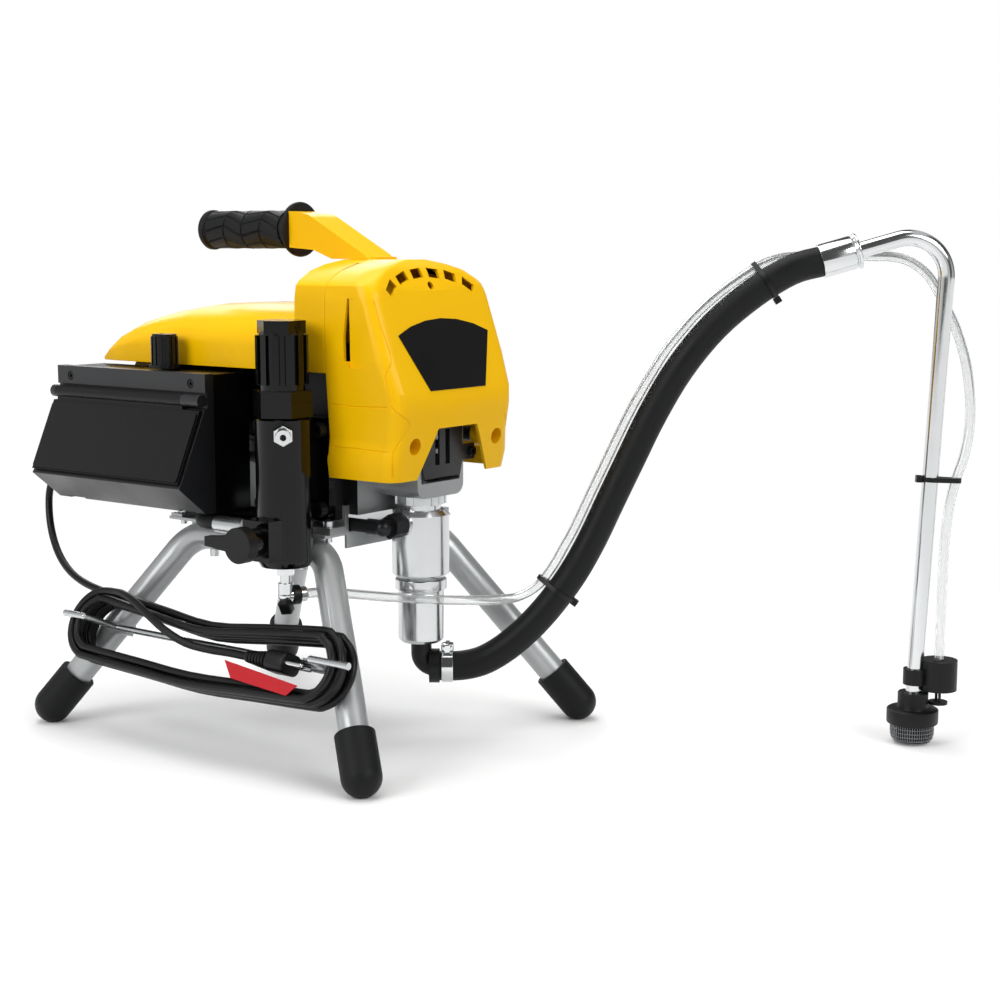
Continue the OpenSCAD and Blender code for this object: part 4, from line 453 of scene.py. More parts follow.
def tube(name, route, diameter_mm, material, body, sides=5):
    """A round tube along the route, as a curve with one open line."""
    curve = bpy.data.curves.new(name, "CURVE")
    curve.dimensions = "3D"
    curve.bevel_depth = diameter_mm * MM / 2
    curve.bevel_resolution = sides
    curve.use_fill_caps = True
    line = curve.splines.new("POLY")
    line.points.add(len(route) - 1)
    for point, place in zip(line.points, route):
        point.co = (*place, 1.0)
    line.use_smooth = True
    curve.materials.append(material)
    piece = bpy.data.objects.new(name, curve)
    bpy.context.scene.collection.objects.link(piece)
    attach(piece, body)
    return piece


power_cord = tube("power_cord", cord_route, cord_d, cord_pvc, "sprayer", 4)
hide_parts("power_lead", "cord_hank")
suction_hose = tube("suction_hose_rubber", suction_route, 26.0, black_rubber, "sprayer", 10)
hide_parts("suction_hose")
# the clear hose needs a bore: its outer skin becomes a mesh, and Solidify gives it a wall
drain_line = tube("drain_line", drain_route, 8.5, clear_pvc, "sprayer", 5)
drain_line.data.use_fill_caps = False
bpy.context.view_layer.update()
drain_skin = bpy.data.meshes.new_from_object(
    drain_line.evaluated_get(bpy.context.evaluated_depsgraph_get()))
bpy.data.objects.remove(drain_line)
drain_hose = make_piece("drain_hose_clear", drain_skin, clear_pvc, "sprayer")
wall = drain_hose.modifiers.new("wall", "SOLIDIFY")
wall.thickness, wall.offset = 1.3 * MM, -1.0
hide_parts("drain_hose")

# %% [markdown]
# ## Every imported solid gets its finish
# Solids that keep their own mesh only get a material. The ones that show from a step away are
# dressed: their edges are rounded by the amount that the real process leaves, from 0.3 mm on
# small fittings to 2.2 mm on moulded plastic. Tubes have no edge, and only get smooth shading.

# %% Finishes of the solids
finishes = {
    "stand_left": silver_coat, "stand_right": silver_coat, "base_plate": silver_coat,
    "rubber_feet": black_rubber, "support_brackets": silver_coat, "frame_bolts": zinc_plate,
    "cord_rod": zinc_plate, "drive_housing": cast_alloy, "motor_can": black_enamel,
    "motor_end": cast_alloy, "motor_shaft": gear_steel, "armature": winding,
    "fan": nylon, "bearings": gear_steel, "layshaft": gear_steel, "crankshaft": gear_steel,
    "crank_gear": gear_steel, "connecting_rod": gear_steel, "piston_rod": turned_steel,
    "pump_cylinder": turned_steel, "jam_nut": zinc_plate, "foot_valve": turned_steel,
    "hose_fittings": zinc_plate, "connecting_hose": black_rubber,
    "filter_manifold": black_enamel, "machine_screws": oxide_steel, "filter_cap": black_enamel,
    "filter_element": gear_steel, "outlet_nipple": nickel_plate, "valve_body": black_enamel,
    "prime_lever": nylon, "drain_fitting": nickel_plate, "inlet_elbow": nylon,
    "hose_clamp": nickel_plate, "suction_hose": black_rubber, "hose_sleeve": nickel_plate,
    "suction_tube": nickel_plate, "strainer": nylon, "drain_clip": nylon,
    "drain_hose": clear_pvc, "cable_ties": nylon, "control_box": black_abs,
    "control_bezel": grey_abs, "tool_door": badge_foil, "hinge_pin": zinc_plate,
    "circuit_board": board_lacquer, "pressure_knob": black_abs, "switch_rocker": black_abs,
    "strain_relief": black_rubber, "power_lead": cord_pvc, "cord_hank": cord_pvc,
    "power_plug": cord_pvc, "cord_tag": red_vinyl, "front_cover": yellow_abs,
    "mid_cover": yellow_abs, "rear_cover": yellow_abs, "handle_arm": yellow_abs,
    "grip": black_rubber, "badge_plate": badge_foil, "yoke_guard": grey_abs,
}
for node, finish in finishes.items():
    mesh = nodes[node].data
    mesh.materials.clear()
    mesh.materials.append(finish)

# %% Rounded edges on what shows
rounds = {
    "stand_left": 0, "stand_right": 0, "rubber_feet": 0.8, "base_plate": 0.5,
    "drive_housing": 1.0, "motor_can": 1.0, "support_brackets": 0.4, "frame_bolts": 0.4,
    "pump_cylinder": 0.6, "jam_nut": 0.5, "foot_valve": 0.5, "hose_fittings": 0.4,
    "filter_manifold": 1.0, "filter_cap": 0.8, "machine_screws": 0.4, "outlet_nipple": 0.4,
    "valve_body": 0.8, "prime_lever": 1.2, "drain_fitting": 0.3, "inlet_elbow": 0.8,
    "control_box": 2.0, "control_bezel": 1.4, "tool_door": 0.6,
    "pressure_knob": 0.4, "switch_rocker": 0.6, "front_cover": 1.2, "mid_cover": 1.0,
    "rear_cover": 1.5, "handle_arm": 2.2, "yoke_guard": 0.5, "badge_plate": 0.3,
    "connecting_hose": 0, "cord_rod": 0, "drain_clip": 0.5,
    "motor_end": 0.6,
}
for node, edge in rounds.items():
    dress(node, finishes[node], edge)

# %% Pieces with two finishes


def second_finish(node, material, wanted):
    """Gives another material to the faces whose middle passes a test."""
    mesh = bpy.data.objects["dressed_" + node].data
    mesh.materials.append(material)
    for face in mesh.polygons:
        if wanted(face.center):
            face.material_index = 1


# Faces on the sides of the gearbox casting above 215 mm get the dull black of moulded nylon; its
# floor and nose keep the bare casting. The paint is as dull as moulded nylon, so that finish
# stands in for it.
second_finish("drive_housing", nylon, lambda c: abs(c.x) > 0.048 and c.z > 0.215)
# The swivel elbow at the pump is blackened; the crimped sleeve at the filter is bright
second_finish("hose_fittings", oxide_steel, lambda c: c.x > -0.08)

# %% [markdown]
# ## Folds of the front cover
# The front cover is moulded with sharp folds: one runs down each side of its face, two cross
# the side walls, and a sloping pocket with a slit lets air in. A fold is a groove 1.6 mm
# wide: a thin tube is laid on the skin and cut away. The pocket is a wedge that is cut away.
# A last, finer groove marks the seam between this cover and the middle one.

# %% Cut the folds and the pockets


def carve(piece, cutter_mesh):
    """Cuts a closed mesh out of a piece, then marks the piece's sharp edges again."""
    cutter = bpy.data.objects.new("cutter", cutter_mesh)
    bpy.context.scene.collection.objects.link(cutter)
    cut = piece.modifiers.new("carved", "BOOLEAN")
    cut.object, cut.operation, cut.solver, cut.use_self = cutter, "DIFFERENCE", "EXACT", True
    bpy.context.view_layer.update()
    seen_by = bpy.context.evaluated_depsgraph_get()
    carved = bpy.data.meshes.new_from_object(piece.evaluated_get(seen_by))
    piece.modifiers.clear()
    piece.data = carved
    bpy.data.objects.remove(cutter)
    carved.shade_smooth()
    carved.set_sharp_from_angle(angle=radians(24))
    level_shading(piece)


def groove_tubes(piece, lines, radius_mm, lean=(2.0, -1.5, 0.0)):
    """Thin tubes that follow the skin of a piece along lines given in millimetres."""
    skin = BVHTree.FromObject(piece, bpy.context.evaluated_depsgraph_get())
    curve = bpy.data.curves.new("groove", "CURVE")
    curve.dimensions, curve.bevel_depth = "3D", radius_mm * MM
    curve.bevel_resolution, curve.use_fill_caps = 2, True
    for line in lines:
        marks = [Vector(m) for m in line]
        places = []
        for a, b in zip(marks, marks[1:]):
            steps = max(2, round((b - a).length / 2.5))
            places += [a.lerp(b, k / steps) for k in range(steps)]
        outwards = [Vector((lean[0] if p.x > 0 else -lean[0], *lean[1:]))
                    for p in places + [marks[-1]]]
        places = [skin.find_nearest((p + out) * MM)
                  for p, out in zip(places + [marks[-1]], outwards)]
        spline = curve.splines.new("POLY")
        spline.points.add(len(places) - 1)
        for point, (place, normal, *_) in zip(spline.points, places):
            point.co = (*(place + normal * 0.15 * MM), 1.0)
    holder = bpy.data.objects.new("groove", curve)
    bpy.context.scene.collection.objects.link(holder)
    bpy.context.view_layer.update()
    mesh = bpy.data.meshes.new_from_object(
        holder.evaluated_get(bpy.context.evaluated_depsgraph_get()))
    bpy.data.objects.remove(holder)
    return mesh


cover = bpy.data.objects["dressed_front_cover"]
left_folds = [
    [(-75.1, -141.6, 391.9), (-74.3, -149.3, 370.9), (-72.5, -158.3, 347.5),
     (-73.8, -159.8, 341.1), (-79.6, -156.7, 331.5), (-78.7, -161.0, 305.5),
     (-61.7, -170.0, 290.7), (-75.8, -161.3, 267.4), (-75.5, -161.0, 246.0)],
    [(-79.3, -95.0, 304.4), (-79.2, -119.8, 303.2), (-78.9, -157.0, 304.5)],
    [(-78.1, -95.0, 268.8), (-78.2, -127.2, 268.6), (-76.6, -158.0, 267.6)]]
folds = left_folds + [[(-x, y, z) for x, y, z in line] for line in left_folds]
pocket = bmesh.new()
hollow = [(92, -118, 336), (92, -153, 336), (92, -118, 399), (92, -146, 399),
          (79.2, -118, 336), (82.6, -155, 336), (79.9, -118, 392), (82.4, -148, 399)]
slit = [(x, y, z) for x in (75, 92) for y, z in ((-113.8, 341), (-118.6, 341), (-113.2, 362),
                                                 (-118.6, 362), (-117.0, 393), (-118.4, 393))]
for side in (-1, 1):
    for corners in (hollow, slit):
        marks = [pocket.verts.new(Vector((side * x, y, z)) * MM) for x, y, z in corners]
        bmesh.ops.convex_hull(pocket, input=marks, use_existing_faces=False)
bmesh.ops.recalc_face_normals(pocket, faces=pocket.faces)
pocket_mesh = bpy.data.meshes.new("pocket")
pocket.to_mesh(pocket_mesh)
pocket.free()
carve(cover, pocket_mesh)
carve(cover, groove_tubes(cover, folds, 0.8))
half_seam = [(84, -92.3, 262), (84, -92.3, 388), (83, -92.3, 401), (74, -92.3, 412),
             (57, -92.3, 419), (40, -92.3, 424)]
shell_seam = [(-x, y, z) for x, y, z in half_seam] + half_seam[::-1]
carve(cover, groove_tubes(cover, [shell_seam], 0.75, lean=(0.0, 0.0, 0.0)))
print("front cover", len(cover.data.polygons), "faces")

# %% [markdown]
# ## Turned shapes
# Many parts here are round: the grip, the strain relief, the strainer's basket. A profile of
# radius and length is drawn as a line of vertices, and the spin operator turns it once round.

# %% Turn a profile round an axis


def turned_profile(profile, steps, place):
    """Spins (radius, length) marks in mm round local Z, then puts the shape in place."""
    bm = bmesh.new()
    rim = [bm.verts.new((r * MM, 0.0, l * MM)) for r, l in profile]
    line = [bm.edges.new(pair) for pair in zip(rim, rim[1:])]
    bmesh.ops.spin(bm, geom=rim + line, axis=(0, 0, 1), cent=(0, 0, 0), angle=2 * pi,
                   steps=steps, use_merge=True, use_duplicate=False)
    bmesh.ops.remove_doubles(bm, verts=bm.verts, dist=1e-6)
    bmesh.ops.recalc_face_normals(bm, faces=bm.faces)
    bmesh.ops.transform(bm, matrix=place, verts=bm.verts)
    return bm


def along_y(x, y, z):
    """Local Z becomes +Y, from a point in mm."""
    return Matrix.Translation(Vector((x, y, z)) * MM) @ Matrix.Rotation(-pi / 2, 4, "X")


# %% Join two shapes


def add_shape(target, bm):
    """Moves the shape of one bmesh into another."""
    loose = bpy.data.meshes.new("loose")
    bm.to_mesh(loose)
    bm.free()
    target.from_mesh(loose)
    bpy.data.meshes.remove(loose)


# %% [markdown]
# ## The grip
# A hand grip is rubber pressed over the arm's end, with a broad flange that stops the hand and
# slanted tread blocks. The blocks come from the faces of the turned body: its rings are
# twisted in a wave, then every face is inset and raised on its own, which leaves the grooves.

# %% Grip with slanted tread blocks
grip_core = turned_profile(
    [(10, 0), (23, 0), (24.3, 1), (24.5, 2.2), (24.3, 3.6), (22.5, 4.6), (15.5, 5.2), (14.4, 6),
     (14.2, 9.5), (15.4, 11), (15.9, 12.5), (15.9, 109), (16.6, 110), (18, 110.6), (18.4, 112),
     (18.3, 114.5), (17, 116.4), (12, 117), (0, 117)], 64, along_y(0, 9, 450))
grip_piece = make_piece("grip_sleeve", grip_core, black_rubber, "sprayer")
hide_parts("grip")

tread_r, tread_len, tread_columns, tread_rows = 15.8, 92, 10, 4
row_len, row_twist, row_wave = tread_len / tread_rows, 8, 24
blocks = bmesh.new()
bmesh.ops.create_cone(blocks, cap_ends=False, segments=tread_columns, radius1=tread_r * MM,
                      radius2=tread_r * MM, depth=tread_len * MM)
lengthwise = [e for e in blocks.edges
              if abs(e.verts[0].co.z - e.verts[1].co.z) > 0.05]
bmesh.ops.subdivide_edges(blocks, edges=lengthwise, cuts=tread_rows - 1, use_grid_fill=True)
for vert in blocks.verts:
    ring = round((vert.co.z / MM + tread_len / 2) / row_len)
    twist = radians(row_wave * (ring % 2) + row_twist * ring)
    vert.co = Matrix.Rotation(twist, 4, "Z") @ vert.co
around = [e for e in blocks.edges if abs(e.verts[0].co.z - e.verts[1].co.z) < 1e-5]
bmesh.ops.subdivide_edges(blocks, edges=around, cuts=3, use_grid_fill=True)
for vert in blocks.verts:
    flat = Vector((vert.co.x, vert.co.y, 0)).normalized() * tread_r * MM
    vert.co = Vector((flat.x, flat.y, vert.co.z))
groups = {}
for face in blocks.faces:
    mid = face.calc_center_median()
    ring = int((mid.z / MM + tread_len / 2) // row_len)
    angle = atan2(mid.y, mid.x) - radians(row_wave / 2 + row_twist * (ring + 0.5))
    column = int((angle % (2 * pi)) // (2 * pi / tread_columns))
    groups.setdefault((ring, column), []).append(face)
for block in groups.values():
    bmesh.ops.inset_region(blocks, faces=block, thickness=1.1 * MM, depth=0,
                           use_even_offset=True)
    raised = set(v for f in block for v in f.verts)
    for vert in raised:
        out = Vector((vert.co.x, vert.co.y, 0)).normalized()
        vert.co += out * 1.5 * MM
bmesh.ops.transform(blocks, matrix=along_y(0, 9 + 60.5, 450), verts=blocks.verts)
make_piece("grip_tread_blocks", blocks, black_rubber, "sprayer", 40)

# %% [markdown]
# ## Cord pieces
# Where the cord leaves the box, a ribbed sleeve keeps it from kinking. At the far end sits
# the plug: a tapered neck with ribs, a rounded body, and two round pins.

# %% Strain relief
relief_marks = [(3.6, 24), (4.6, 24), (4.9, 23)]
for k in range(5):
    z = 21.6 - 3.7 * k
    wide = 5.1 + 0.42 * k
    relief_marks += [(wide, z + 0.4), (wide + 0.1, z), (wide, z - 1.6), (wide - 0.9, z - 1.9),
                     (wide - 0.8, z - 3.4)]
relief_marks += [(7.4, 3.6), (9.0, 3.4), (9.2, 2.8), (9.2, -0.4), (5.0, -0.4)]
relief = make_piece("strain_relief_ribbed",
                    turned_profile(relief_marks, 40, along_y(-92, 202.1, 230)),
                    cord_pvc, "sprayer")
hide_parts("strain_relief")

# %% Plug
plug_frame = (Matrix.Translation(plug_at) @ Matrix.Rotation(leg_tilt, 4, "Y")
              @ Matrix.Rotation(pi / 2, 4, "X"))
neck_marks = [(3.6, -1), (4.6, -1), (5.0, 0)]
for k in range(6):
    z, wide = 1 + 4 * k, 5.0 + 0.55 * k
    neck_marks += [(wide, z), (wide + 0.3, z + 2.2), (wide - 0.6, z + 2.6), (wide - 0.5, z + 3.6)]
neck_marks += [(8.6, 27), (9, 30), (0, 30)]
make_piece("plug_neck", turned_profile(neck_marks, 40, plug_frame), cord_pvc, "sprayer")
shell = bmesh.new()
bmesh.ops.create_cube(shell, size=1.0)
bmesh.ops.scale(shell, vec=(24 * MM, 18 * MM, 21 * MM), verts=shell.verts)
bmesh.ops.translate(shell, vec=(0, 0, 39 * MM), verts=shell.verts)
upright = [e for e in shell.edges if abs(e.verts[0].co.z - e.verts[1].co.z) > 0.01]
bmesh.ops.bevel(shell, geom=upright, offset=6.5 * MM, offset_type="OFFSET", segments=8,
                profile=0.5, affect="EDGES", material=-1)
rims = [e for e in shell.edges if len(e.link_faces) == 2 and e.calc_face_angle(0) > 1.2]
bmesh.ops.bevel(shell, geom=rims, offset=1.8 * MM, offset_type="OFFSET", segments=4,
                profile=0.5, affect="EDGES", material=-1)
bmesh.ops.transform(shell, matrix=plug_frame, verts=shell.verts)
plug = make_piece("plug_body", shell, cord_pvc, "sprayer")
pins = bmesh.new()
for x in (-7, 7):
    pin = turned_profile([(0, 48), (2.35, 48), (2.35, 64), (2.0, 66.2), (0.9, 67), (0, 67)], 24,
                         Matrix.Translation((x * MM, 0, 0)))
    add_shape(pins, pin)
bmesh.ops.transform(pins, matrix=plug_frame, verts=pins.verts)
make_piece("plug_pins", pins, nickel_plate, "sprayer")
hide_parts("power_plug")

# %% [markdown]
# ## Ties round the hoses
# A cable tie pulls a flat band tight round both hoses, with a small square head. The band is
# the convex hull of two short rings, one round each hose, so it lies on both as a real one.

# %% Cable ties
ties = bmesh.new()
# place along the plane, height, heading of the hose, its radius, and where the thin hose lies
tie_marks = [(121.5, 135.8, 54, 13, (18.2, 0)), (298, 403, 33, 13, (16.6, -8)),
             (442.7, 235, -92.6, 7, (21.5, 0))]
for u, z, heading, big, beside in tie_marks:
    band = bmesh.new()
    bmesh.ops.create_cone(band, cap_ends=True, segments=48, radius1=(big + 1.3) * MM,
                          radius2=(big + 1.3) * MM, depth=4 * MM)
    bmesh.ops.create_cone(band, cap_ends=True, segments=32, radius1=5.5 * MM,
                          radius2=5.5 * MM, depth=4 * MM,
                          matrix=Matrix.Translation((beside[0] * MM, beside[1] * MM, 0)))
    hull = bmesh.ops.convex_hull(band, input=band.verts, use_existing_faces=False)
    bmesh.ops.delete(band, geom=[g for g in hull["geom_interior"] + hull["geom_unused"]
                                 if isinstance(g, bmesh.types.BMVert)], context="VERTS")
    bmesh.ops.dissolve_limit(band, angle_limit=radians(2), verts=band.verts, edges=band.edges)
    head = bmesh.ops.create_cube(band, size=1.0)["verts"]
    bmesh.ops.scale(band, vec=(5 * MM, 6 * MM, 6 * MM), verts=head)
    bmesh.ops.translate(band, vec=(-(big + 3) * MM, 0, 0), verts=head)
    lift = radians(90 - heading)
    # local Z runs along the hose, local X away from it, in the upright plane
    stand = Matrix.Rotation(plane_turn, 4, "Z") @ Matrix.Rotation(lift, 4, "Y")
    bmesh.ops.transform(band, verts=band.verts,
                        matrix=Matrix.Translation(from_plane(u, 0, z)) @ stand
                        @ Matrix.Rotation(pi, 4, "Z"))
    add_shape(ties, band)
tie_bands = make_piece("tie_bands", ties, nylon, "sprayer")
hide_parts("cable_ties")

# %% [markdown]
# ## Strainer
# The strainer at the end of the steel tube is a nylon nut and rim over a basket of woven wire.
# The basket is a fine lattice: a turned shell whose edges become wires by a Wireframe modifier.

# %% Strainer with a wire basket
strainer_at = from_plane(434, 0, 0)
rim_bm = turned_profile([(7.2, 46), (12.6, 46), (13.3, 45.2), (13.3, 33), (14, 31.4),
                         (21, 31.4), (22.3, 30.6), (22.5, 29.6), (22.5, 20), (22.2, 18.6),
                         (21.2, 18), (17.2, 18), (17.2, 26), (7.2, 28)], 72,
                        Matrix.Translation(strainer_at))
rim_piece = make_piece("strainer_rim", rim_bm, nylon, "sprayer")
basket = turned_profile([(19, 18.5), (19, 15), (18.9, 11.5), (18.6, 8), (17.8, 4.8), (16, 2.2),
                         (13, 1.2), (9.5, 0.9), (6, 0.8), (3, 0.8)], 56,
                        Matrix.Translation(strainer_at))
wires = make_piece("strainer_basket", basket, gear_steel, "sprayer")
lattice = wires.modifiers.new("wires", "WIREFRAME")
lattice.thickness = 0.55 * MM
lattice.use_replace = True
lattice.use_even_offset = False
dark = turned_profile([(18.2, 18), (18.2, 8), (17, 4.8), (13, 2.4), (0, 1.9)], 48,
                      Matrix.Translation(strainer_at))
make_piece("strainer_cloth", dark, nylon, "sprayer")
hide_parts("strainer")

# %% [markdown]
# ## Sleeve of the suction hose
# A pressed steel sleeve holds the hose on the tube. Its end is drawn in and rolled to a collar.

# %% Pressed sleeve with a rolled collar
sleeve_start, sleeve_end = tube_straight(-68.5), tube_straight(-34.0)
sleeve_way = (sleeve_end - sleeve_start).to_track_quat("Z", "Y").to_matrix().to_4x4()
sleeve_marks = [(12.6, 0), (14.0, 0), (14.4, 0.3), (14.5, 1.0), (14.5, 27.6), (14.1, 28.8),
                (13.2, 29.6), (13.0, 30.2), (13.3, 30.8), (14.6, 31.0), (15.2, 31.6),
                (15.4, 32.4), (15.2, 33.2), (14.6, 33.7), (12.0, 33.9), (9.4, 34.2), (7.05, 34.2)]
sleeve = make_piece("sleeve_pressed",
                    turned_profile(sleeve_marks, 96, Matrix.Translation(sleeve_start)
                                   @ sleeve_way),
                    nickel_plate, "sprayer")
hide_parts("hose_sleeve")

# %% Bent steel tube
# the first straight, a bend drawn in 28 steps, and the long drop to the strainer
bend_marks = [(bend_at[0] + bend_r * sin(a), bend_at[1] + bend_r * cos(a))
              for a in [-tube_head + k / 28 * (pi / 2 + tube_head + tube_lean)
                        for k in range(29)]]
bend_foot = bend_marks[-1]
drop_run = bend_foot[1] - 38.0
tube_route = [tube_straight(-50), tube_straight(-34), tube_straight(-8)]
tube_route += [from_plane(u, 0, z) for u, z in bend_marks]
tube_route += [from_plane(bend_foot[0] - drop * tan(tube_lean), 0, bend_foot[1] - drop)
               for drop in (8.0, drop_run / 3, drop_run * 2 / 3, drop_run)]
suction_pipe = tube("suction_pipe_bent", tube_route, 14.0, nickel_plate, "sprayer", 12)
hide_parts("suction_tube")

# %% [markdown]
# ## Clip on the drain fitting
# A two-part black clip holds the thin hose in the fitting: a collar round its outlet, and a
# square tail that is pressed with pliers to let go.

# %% Collar and tail of the clip
clip_way = (drain_exit(18) - drain_exit(0)).to_track_quat("Z", "X").to_matrix().to_4x4()
collar = turned_profile([(6.5, -3.4), (8.0, -3.4), (8.4, -3.0), (8.4, 3.0), (8.0, 3.4),
                         (6.5, 3.4)], 48, Matrix.Translation(drain_exit(8.5)) @ clip_way)
tail = bmesh.new()
bmesh.ops.create_cube(tail, size=1.0)
bmesh.ops.scale(tail, vec=(9 * MM, 10 * MM, 12 * MM), verts=tail.verts)
bmesh.ops.bevel(tail, geom=tail.edges[:], offset=1.2 * MM, offset_type="OFFSET", segments=3,
                profile=0.5, affect="EDGES", material=-1)
bmesh.ops.transform(tail, verts=tail.verts,
                    matrix=Matrix.Translation(Vector((-113.5, -73.5, 134.5)) * MM)
                    @ Matrix.Rotation(radians(-25), 4, "Y") @ Matrix.Rotation(radians(20), 4, "Z"))
add_shape(collar, tail)
make_piece("drain_grip", collar, nylon, "sprayer")

# %% [markdown]
# ## Hose clamp
# A worm clamp is a thin steel band, a pressed housing, and a screw across it.

# %% Worm clamp on the suction hose
clamp_place = (Matrix.Translation(from_plane(18, 0, 69.5)) @ Matrix.Rotation(plane_turn, 4, "Z")
               @ Matrix.Rotation(pi / 2, 4, "Y"))
band = turned_profile([(13.2, 0), (14.2, 0), (14.5, 0.4), (14.5, 9.6), (14.2, 10), (13.2, 10)],
                      64, clamp_place)
clamp = make_piece("clamp_band", band, nickel_plate, "sprayer")
housing = bmesh.new()
bmesh.ops.create_cube(housing, size=1.0)
bmesh.ops.scale(housing, vec=(6 * MM, 13 * MM, 11 * MM), verts=housing.verts)
bmesh.ops.translate(housing, vec=(-17.0 * MM, 0, 5 * MM), verts=housing.verts)
bmesh.ops.bevel(housing, geom=housing.edges[:], offset=1.6 * MM, offset_type="OFFSET",
                segments=3, profile=0.5, affect="EDGES", material=-1)
bmesh.ops.create_cone(housing, cap_ends=True, segments=6, radius1=3.6 * MM,
                      radius2=3.4 * MM, depth=21 * MM,
                      matrix=Matrix.Translation((-17 * MM, 0, 5 * MM))
                      @ Matrix.Rotation(pi / 2, 4, "X"))
bmesh.ops.transform(housing, matrix=clamp_place, verts=housing.verts)
make_piece("clamp_housing", housing, nickel_plate, "sprayer")
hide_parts("hose_clamp")

# %% [markdown]
# ## Tool door
# The door of the small tool compartment is a moulded plate with a raised border round a bare
# panel. The panel is a separate satin foil that sits a hair below the border.

# %% Door panel and border
door_low, door_high = Vector((-154.0, 0, 235.0)), Vector((-126.19, 0, 296.0))
door_up = (door_high - door_low).normalized()
door_out = Vector((-door_up.z, 0, door_up.x))
door_long = (door_high - door_low).length


def on_door(y, v, out):
    """A point on the door's outer face: along Y, up the slope, and proud of it, in mm."""
    return (Vector((0, y, 0)) + door_low + door_up * v + door_out * out) * MM


def door_plate(y0, y1, v0, v1, out0, out1, corner):
    bm = bmesh.new()
    bmesh.ops.create_cube(bm, size=1.0)
    along = Vector((0, 1, 0))
    frame_ = Matrix((along, door_up, door_out)).transposed().to_4x4()
    bmesh.ops.scale(bm, vec=((y1 - y0) * MM, (v1 - v0) * MM, (out1 - out0) * MM),
                    verts=bm.verts)
    sides = [e for e in bm.edges
             if abs(e.verts[0].co.z - e.verts[1].co.z) > (out1 - out0) * MM * 0.9]
    bmesh.ops.bevel(bm, geom=sides, offset=corner * MM, offset_type="OFFSET", segments=6,
                    profile=0.5, affect="EDGES", material=-1)
    place = Matrix.Translation(on_door((y0 + y1) / 2, (v0 + v1) / 2, (out0 + out1) / 2))
    bmesh.ops.transform(bm, matrix=place @ frame_, verts=bm.verts)
    return bm


border = door_plate(14, 204, 1.5, door_long - 2.5, -0.4, 1.3, 3.0)
top_faces = [f for f in border.faces if f.normal.dot(door_out) > 0.9]
bmesh.ops.inset_region(border, faces=top_faces, thickness=5.5 * MM, depth=0)
bmesh.ops.inset_region(border, faces=top_faces, thickness=0.5 * MM, depth=-0.8 * MM)
make_piece("door_border", border, black_abs, "door")
panel = door_plate(20.4, 197.6, 7.9, door_long - 8.9, 0.3, 0.75, 2.0)
make_piece("door_panel", panel, badge_foil, "door")

# %% [markdown]
# ## Floor and light
# The floor is white for the eye, for mirrors and for clear plastic, and darker for the light
# that it throws back, so that the machine keeps its shadows. The air is white for the eye and
# for clear plastic, but mirrors see bands of light and dark in it. Large soft lamps stand at
# the left, in front, above and behind, as in a studio.

# %% Floor, air and lamps
floor_bm = bmesh.new()
bmesh.ops.create_grid(floor_bm, x_segments=2, y_segments=2, size=12.0)
floor_mesh = bpy.data.meshes.new("studio_floor")
floor_bm.to_mesh(floor_mesh)
floor_bm.free()
floor = bpy.data.objects.new("studio_floor", floor_mesh)
bpy.context.scene.collection.objects.link(floor)

paper, tree, shader, where = start_material("white_paper_sweep", "fafafa", 0.0, 0.9)
rays = add_node(tree, "ShaderNodeLightPath").outputs
seen = add_node(tree, "ShaderNodeMath", {"operation": "MAXIMUM"}, {},
                {0: rays["Is Camera Ray"], 1: rays["Is Glossy Ray"]})
seen = add_node(tree, "ShaderNodeMath", {"operation": "MAXIMUM"}, {},
                {0: seen.outputs[0], 1: rays["Is Transmission Ray"]})
away = add_node(tree, "ShaderNodeVectorMath", {"operation": "LENGTH"}, {}, {0: where})
fade = add_node(tree, "ShaderNodeMapRange", {}, {"From Min": 0.45, "From Max": 1.3,
                                                "To Min": 0.0, "To Max": 1.0},
                {"Value": away.outputs["Value"]})
dull = add_node(tree, "ShaderNodeBsdfDiffuse", {}, {"Color": linear("fcfcfc")})
low = add_node(tree, "ShaderNodeBsdfDiffuse", {}, {"Color": linear("a8a8a8")})
glow = add_node(tree, "ShaderNodeEmission", {}, {"Color": (1, 1, 1, 1), "Strength": 1.0})
near = add_node(tree, "ShaderNodeMixShader", {}, {},
                {0: fade.outputs["Result"], 1: dull.outputs[0], 2: glow.outputs[0]})
both = add_node(tree, "ShaderNodeMixShader", {}, {},
                {0: seen.outputs[0], 1: low.outputs[0], 2: near.outputs[0]})
tree.links.new(both.outputs[0], tree.nodes["Material Output"].inputs["Surface"])
tree.nodes.remove(shader)
floor_mesh.materials.append(paper)

world = bpy.data.worlds.new("studio_air")
bpy.context.scene.world = world
world.use_nodes = True
air = world.node_tree
rays = add_node(air, "ShaderNodeLightPath").outputs
seen = add_node(air, "ShaderNodeMath", {"operation": "MAXIMUM"}, {},
                {0: rays["Is Camera Ray"], 1: rays["Is Transmission Ray"]})
level = add_node(air, "ShaderNodeMapRange", {}, {"To Min": 0.38, "To Max": 1.0},
                 {"Value": seen.outputs[0]})
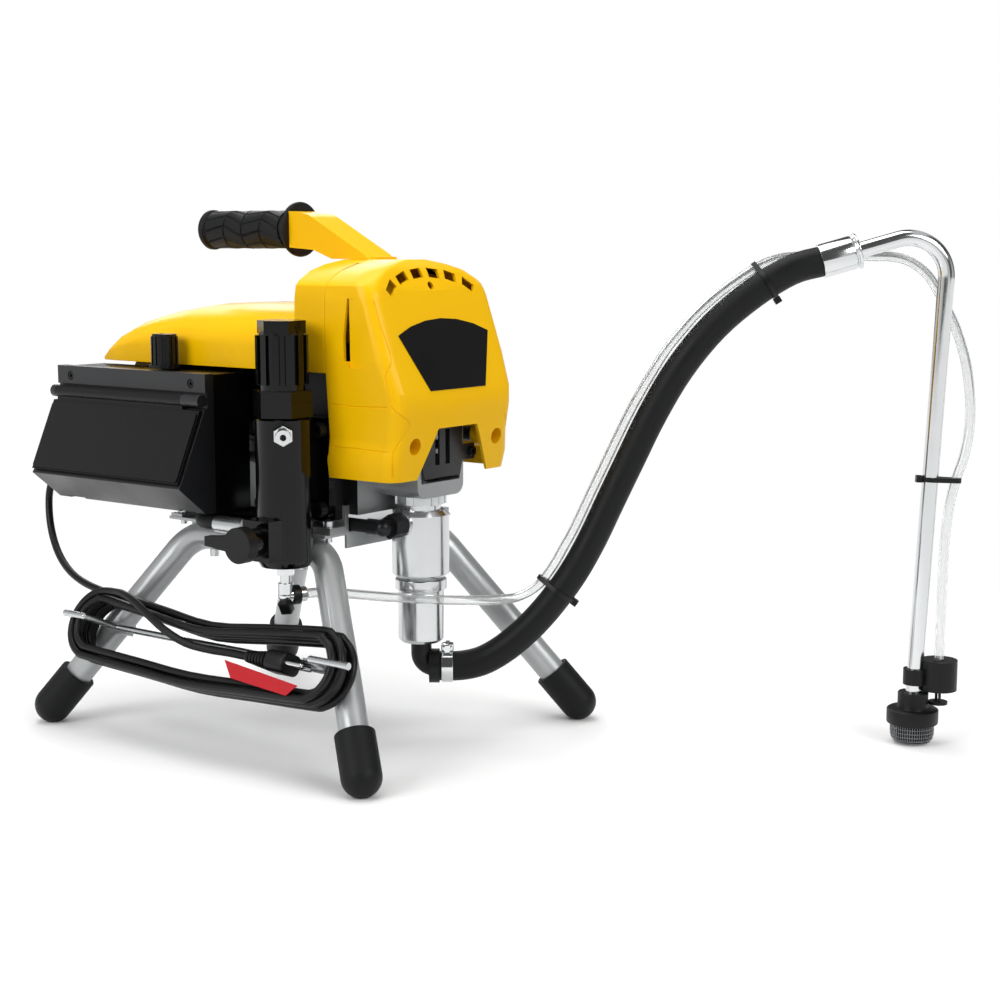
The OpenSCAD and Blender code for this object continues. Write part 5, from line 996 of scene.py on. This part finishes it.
# The bands are upright and fixed in the room, as the flags and sheets of a studio are
looking = add_node(air, "ShaderNodeTexCoord").outputs["Generated"]
sideways = add_node(air, "ShaderNodeVectorMath", {"operation": "DOT_PRODUCT"}, {1: right},
                    {0: looking})
bands = add_node(air, "ShaderNodeValToRGB")
spread_out = add_node(air, "ShaderNodeMapRange", {}, {"From Min": -1.0, "From Max": 1.0},
                      {"Value": sideways.outputs["Value"]})
air.links.new(spread_out.outputs["Result"], bands.inputs["Fac"])
ramp = bands.color_ramp
ramp.elements[0].position, ramp.elements[0].color = 0.0, (0.75, 0.75, 0.75, 1)
ramp.elements[1].position, ramp.elements[1].color = 1.0, (0.55, 0.55, 0.55, 1)
for place, grey in ((0.10, 0.50), (0.16, 0.50), (0.22, 0.10), (0.34, 0.12), (0.44, 0.08),
                    (0.60, 0.08), (0.66, 0.60), (0.76, 0.60), (0.82, 0.10), (0.94, 0.08)):
    ramp.elements.new(place).color = (grey, grey, grey, 1)
mirrored = add_node(air, "ShaderNodeMix", {"data_type": "FLOAT"}, {},
                    {"Factor": rays["Is Glossy Ray"]})
numbers = [s for s in mirrored.inputs if s.type == "VALUE" and s.name in ("A", "B")]
air.links.new(level.outputs["Result"], numbers[0])
air.links.new(bands.outputs["Color"], numbers[1])
mixed = [s for s in mirrored.outputs if s.type == "VALUE"][0]
backdrop = air.nodes["Background"]
backdrop.inputs["Color"].default_value = (1, 1, 1, 1)
air.links.new(mixed, backdrop.inputs["Strength"])


def soft_lamp(name, place, target, size, power):
    lamp = bpy.data.lights.new(name, "AREA")
    lamp.shape = "RECTANGLE"
    lamp.size, lamp.size_y = size
    lamp.energy = power
    holder = bpy.data.objects.new(name, lamp)
    bpy.context.scene.collection.objects.link(holder)
    way = Vector(target) - Vector(place)
    holder.matrix_world = (Matrix.Translation(place)
                           @ way.to_track_quat("-Z", "Y").to_matrix().to_4x4())


soft_lamp("lamp_left", (-2.0, 0.3, 1.3), (0, 0, 0.25), (1.0, 1.4), 22)
soft_lamp("lamp_front", (-0.2, -2.3, 1.5), (0, 0, 0.25), (1.6, 1.0), 26)
soft_lamp("lamp_top", (0.1, 0.2, 2.2), (0, 0, 0.2), (1.8, 1.8), 26)
soft_lamp("lamp_back", (1.3, 1.6, 1.4), (0, 0, 0.25), (1.2, 1.2), 14)
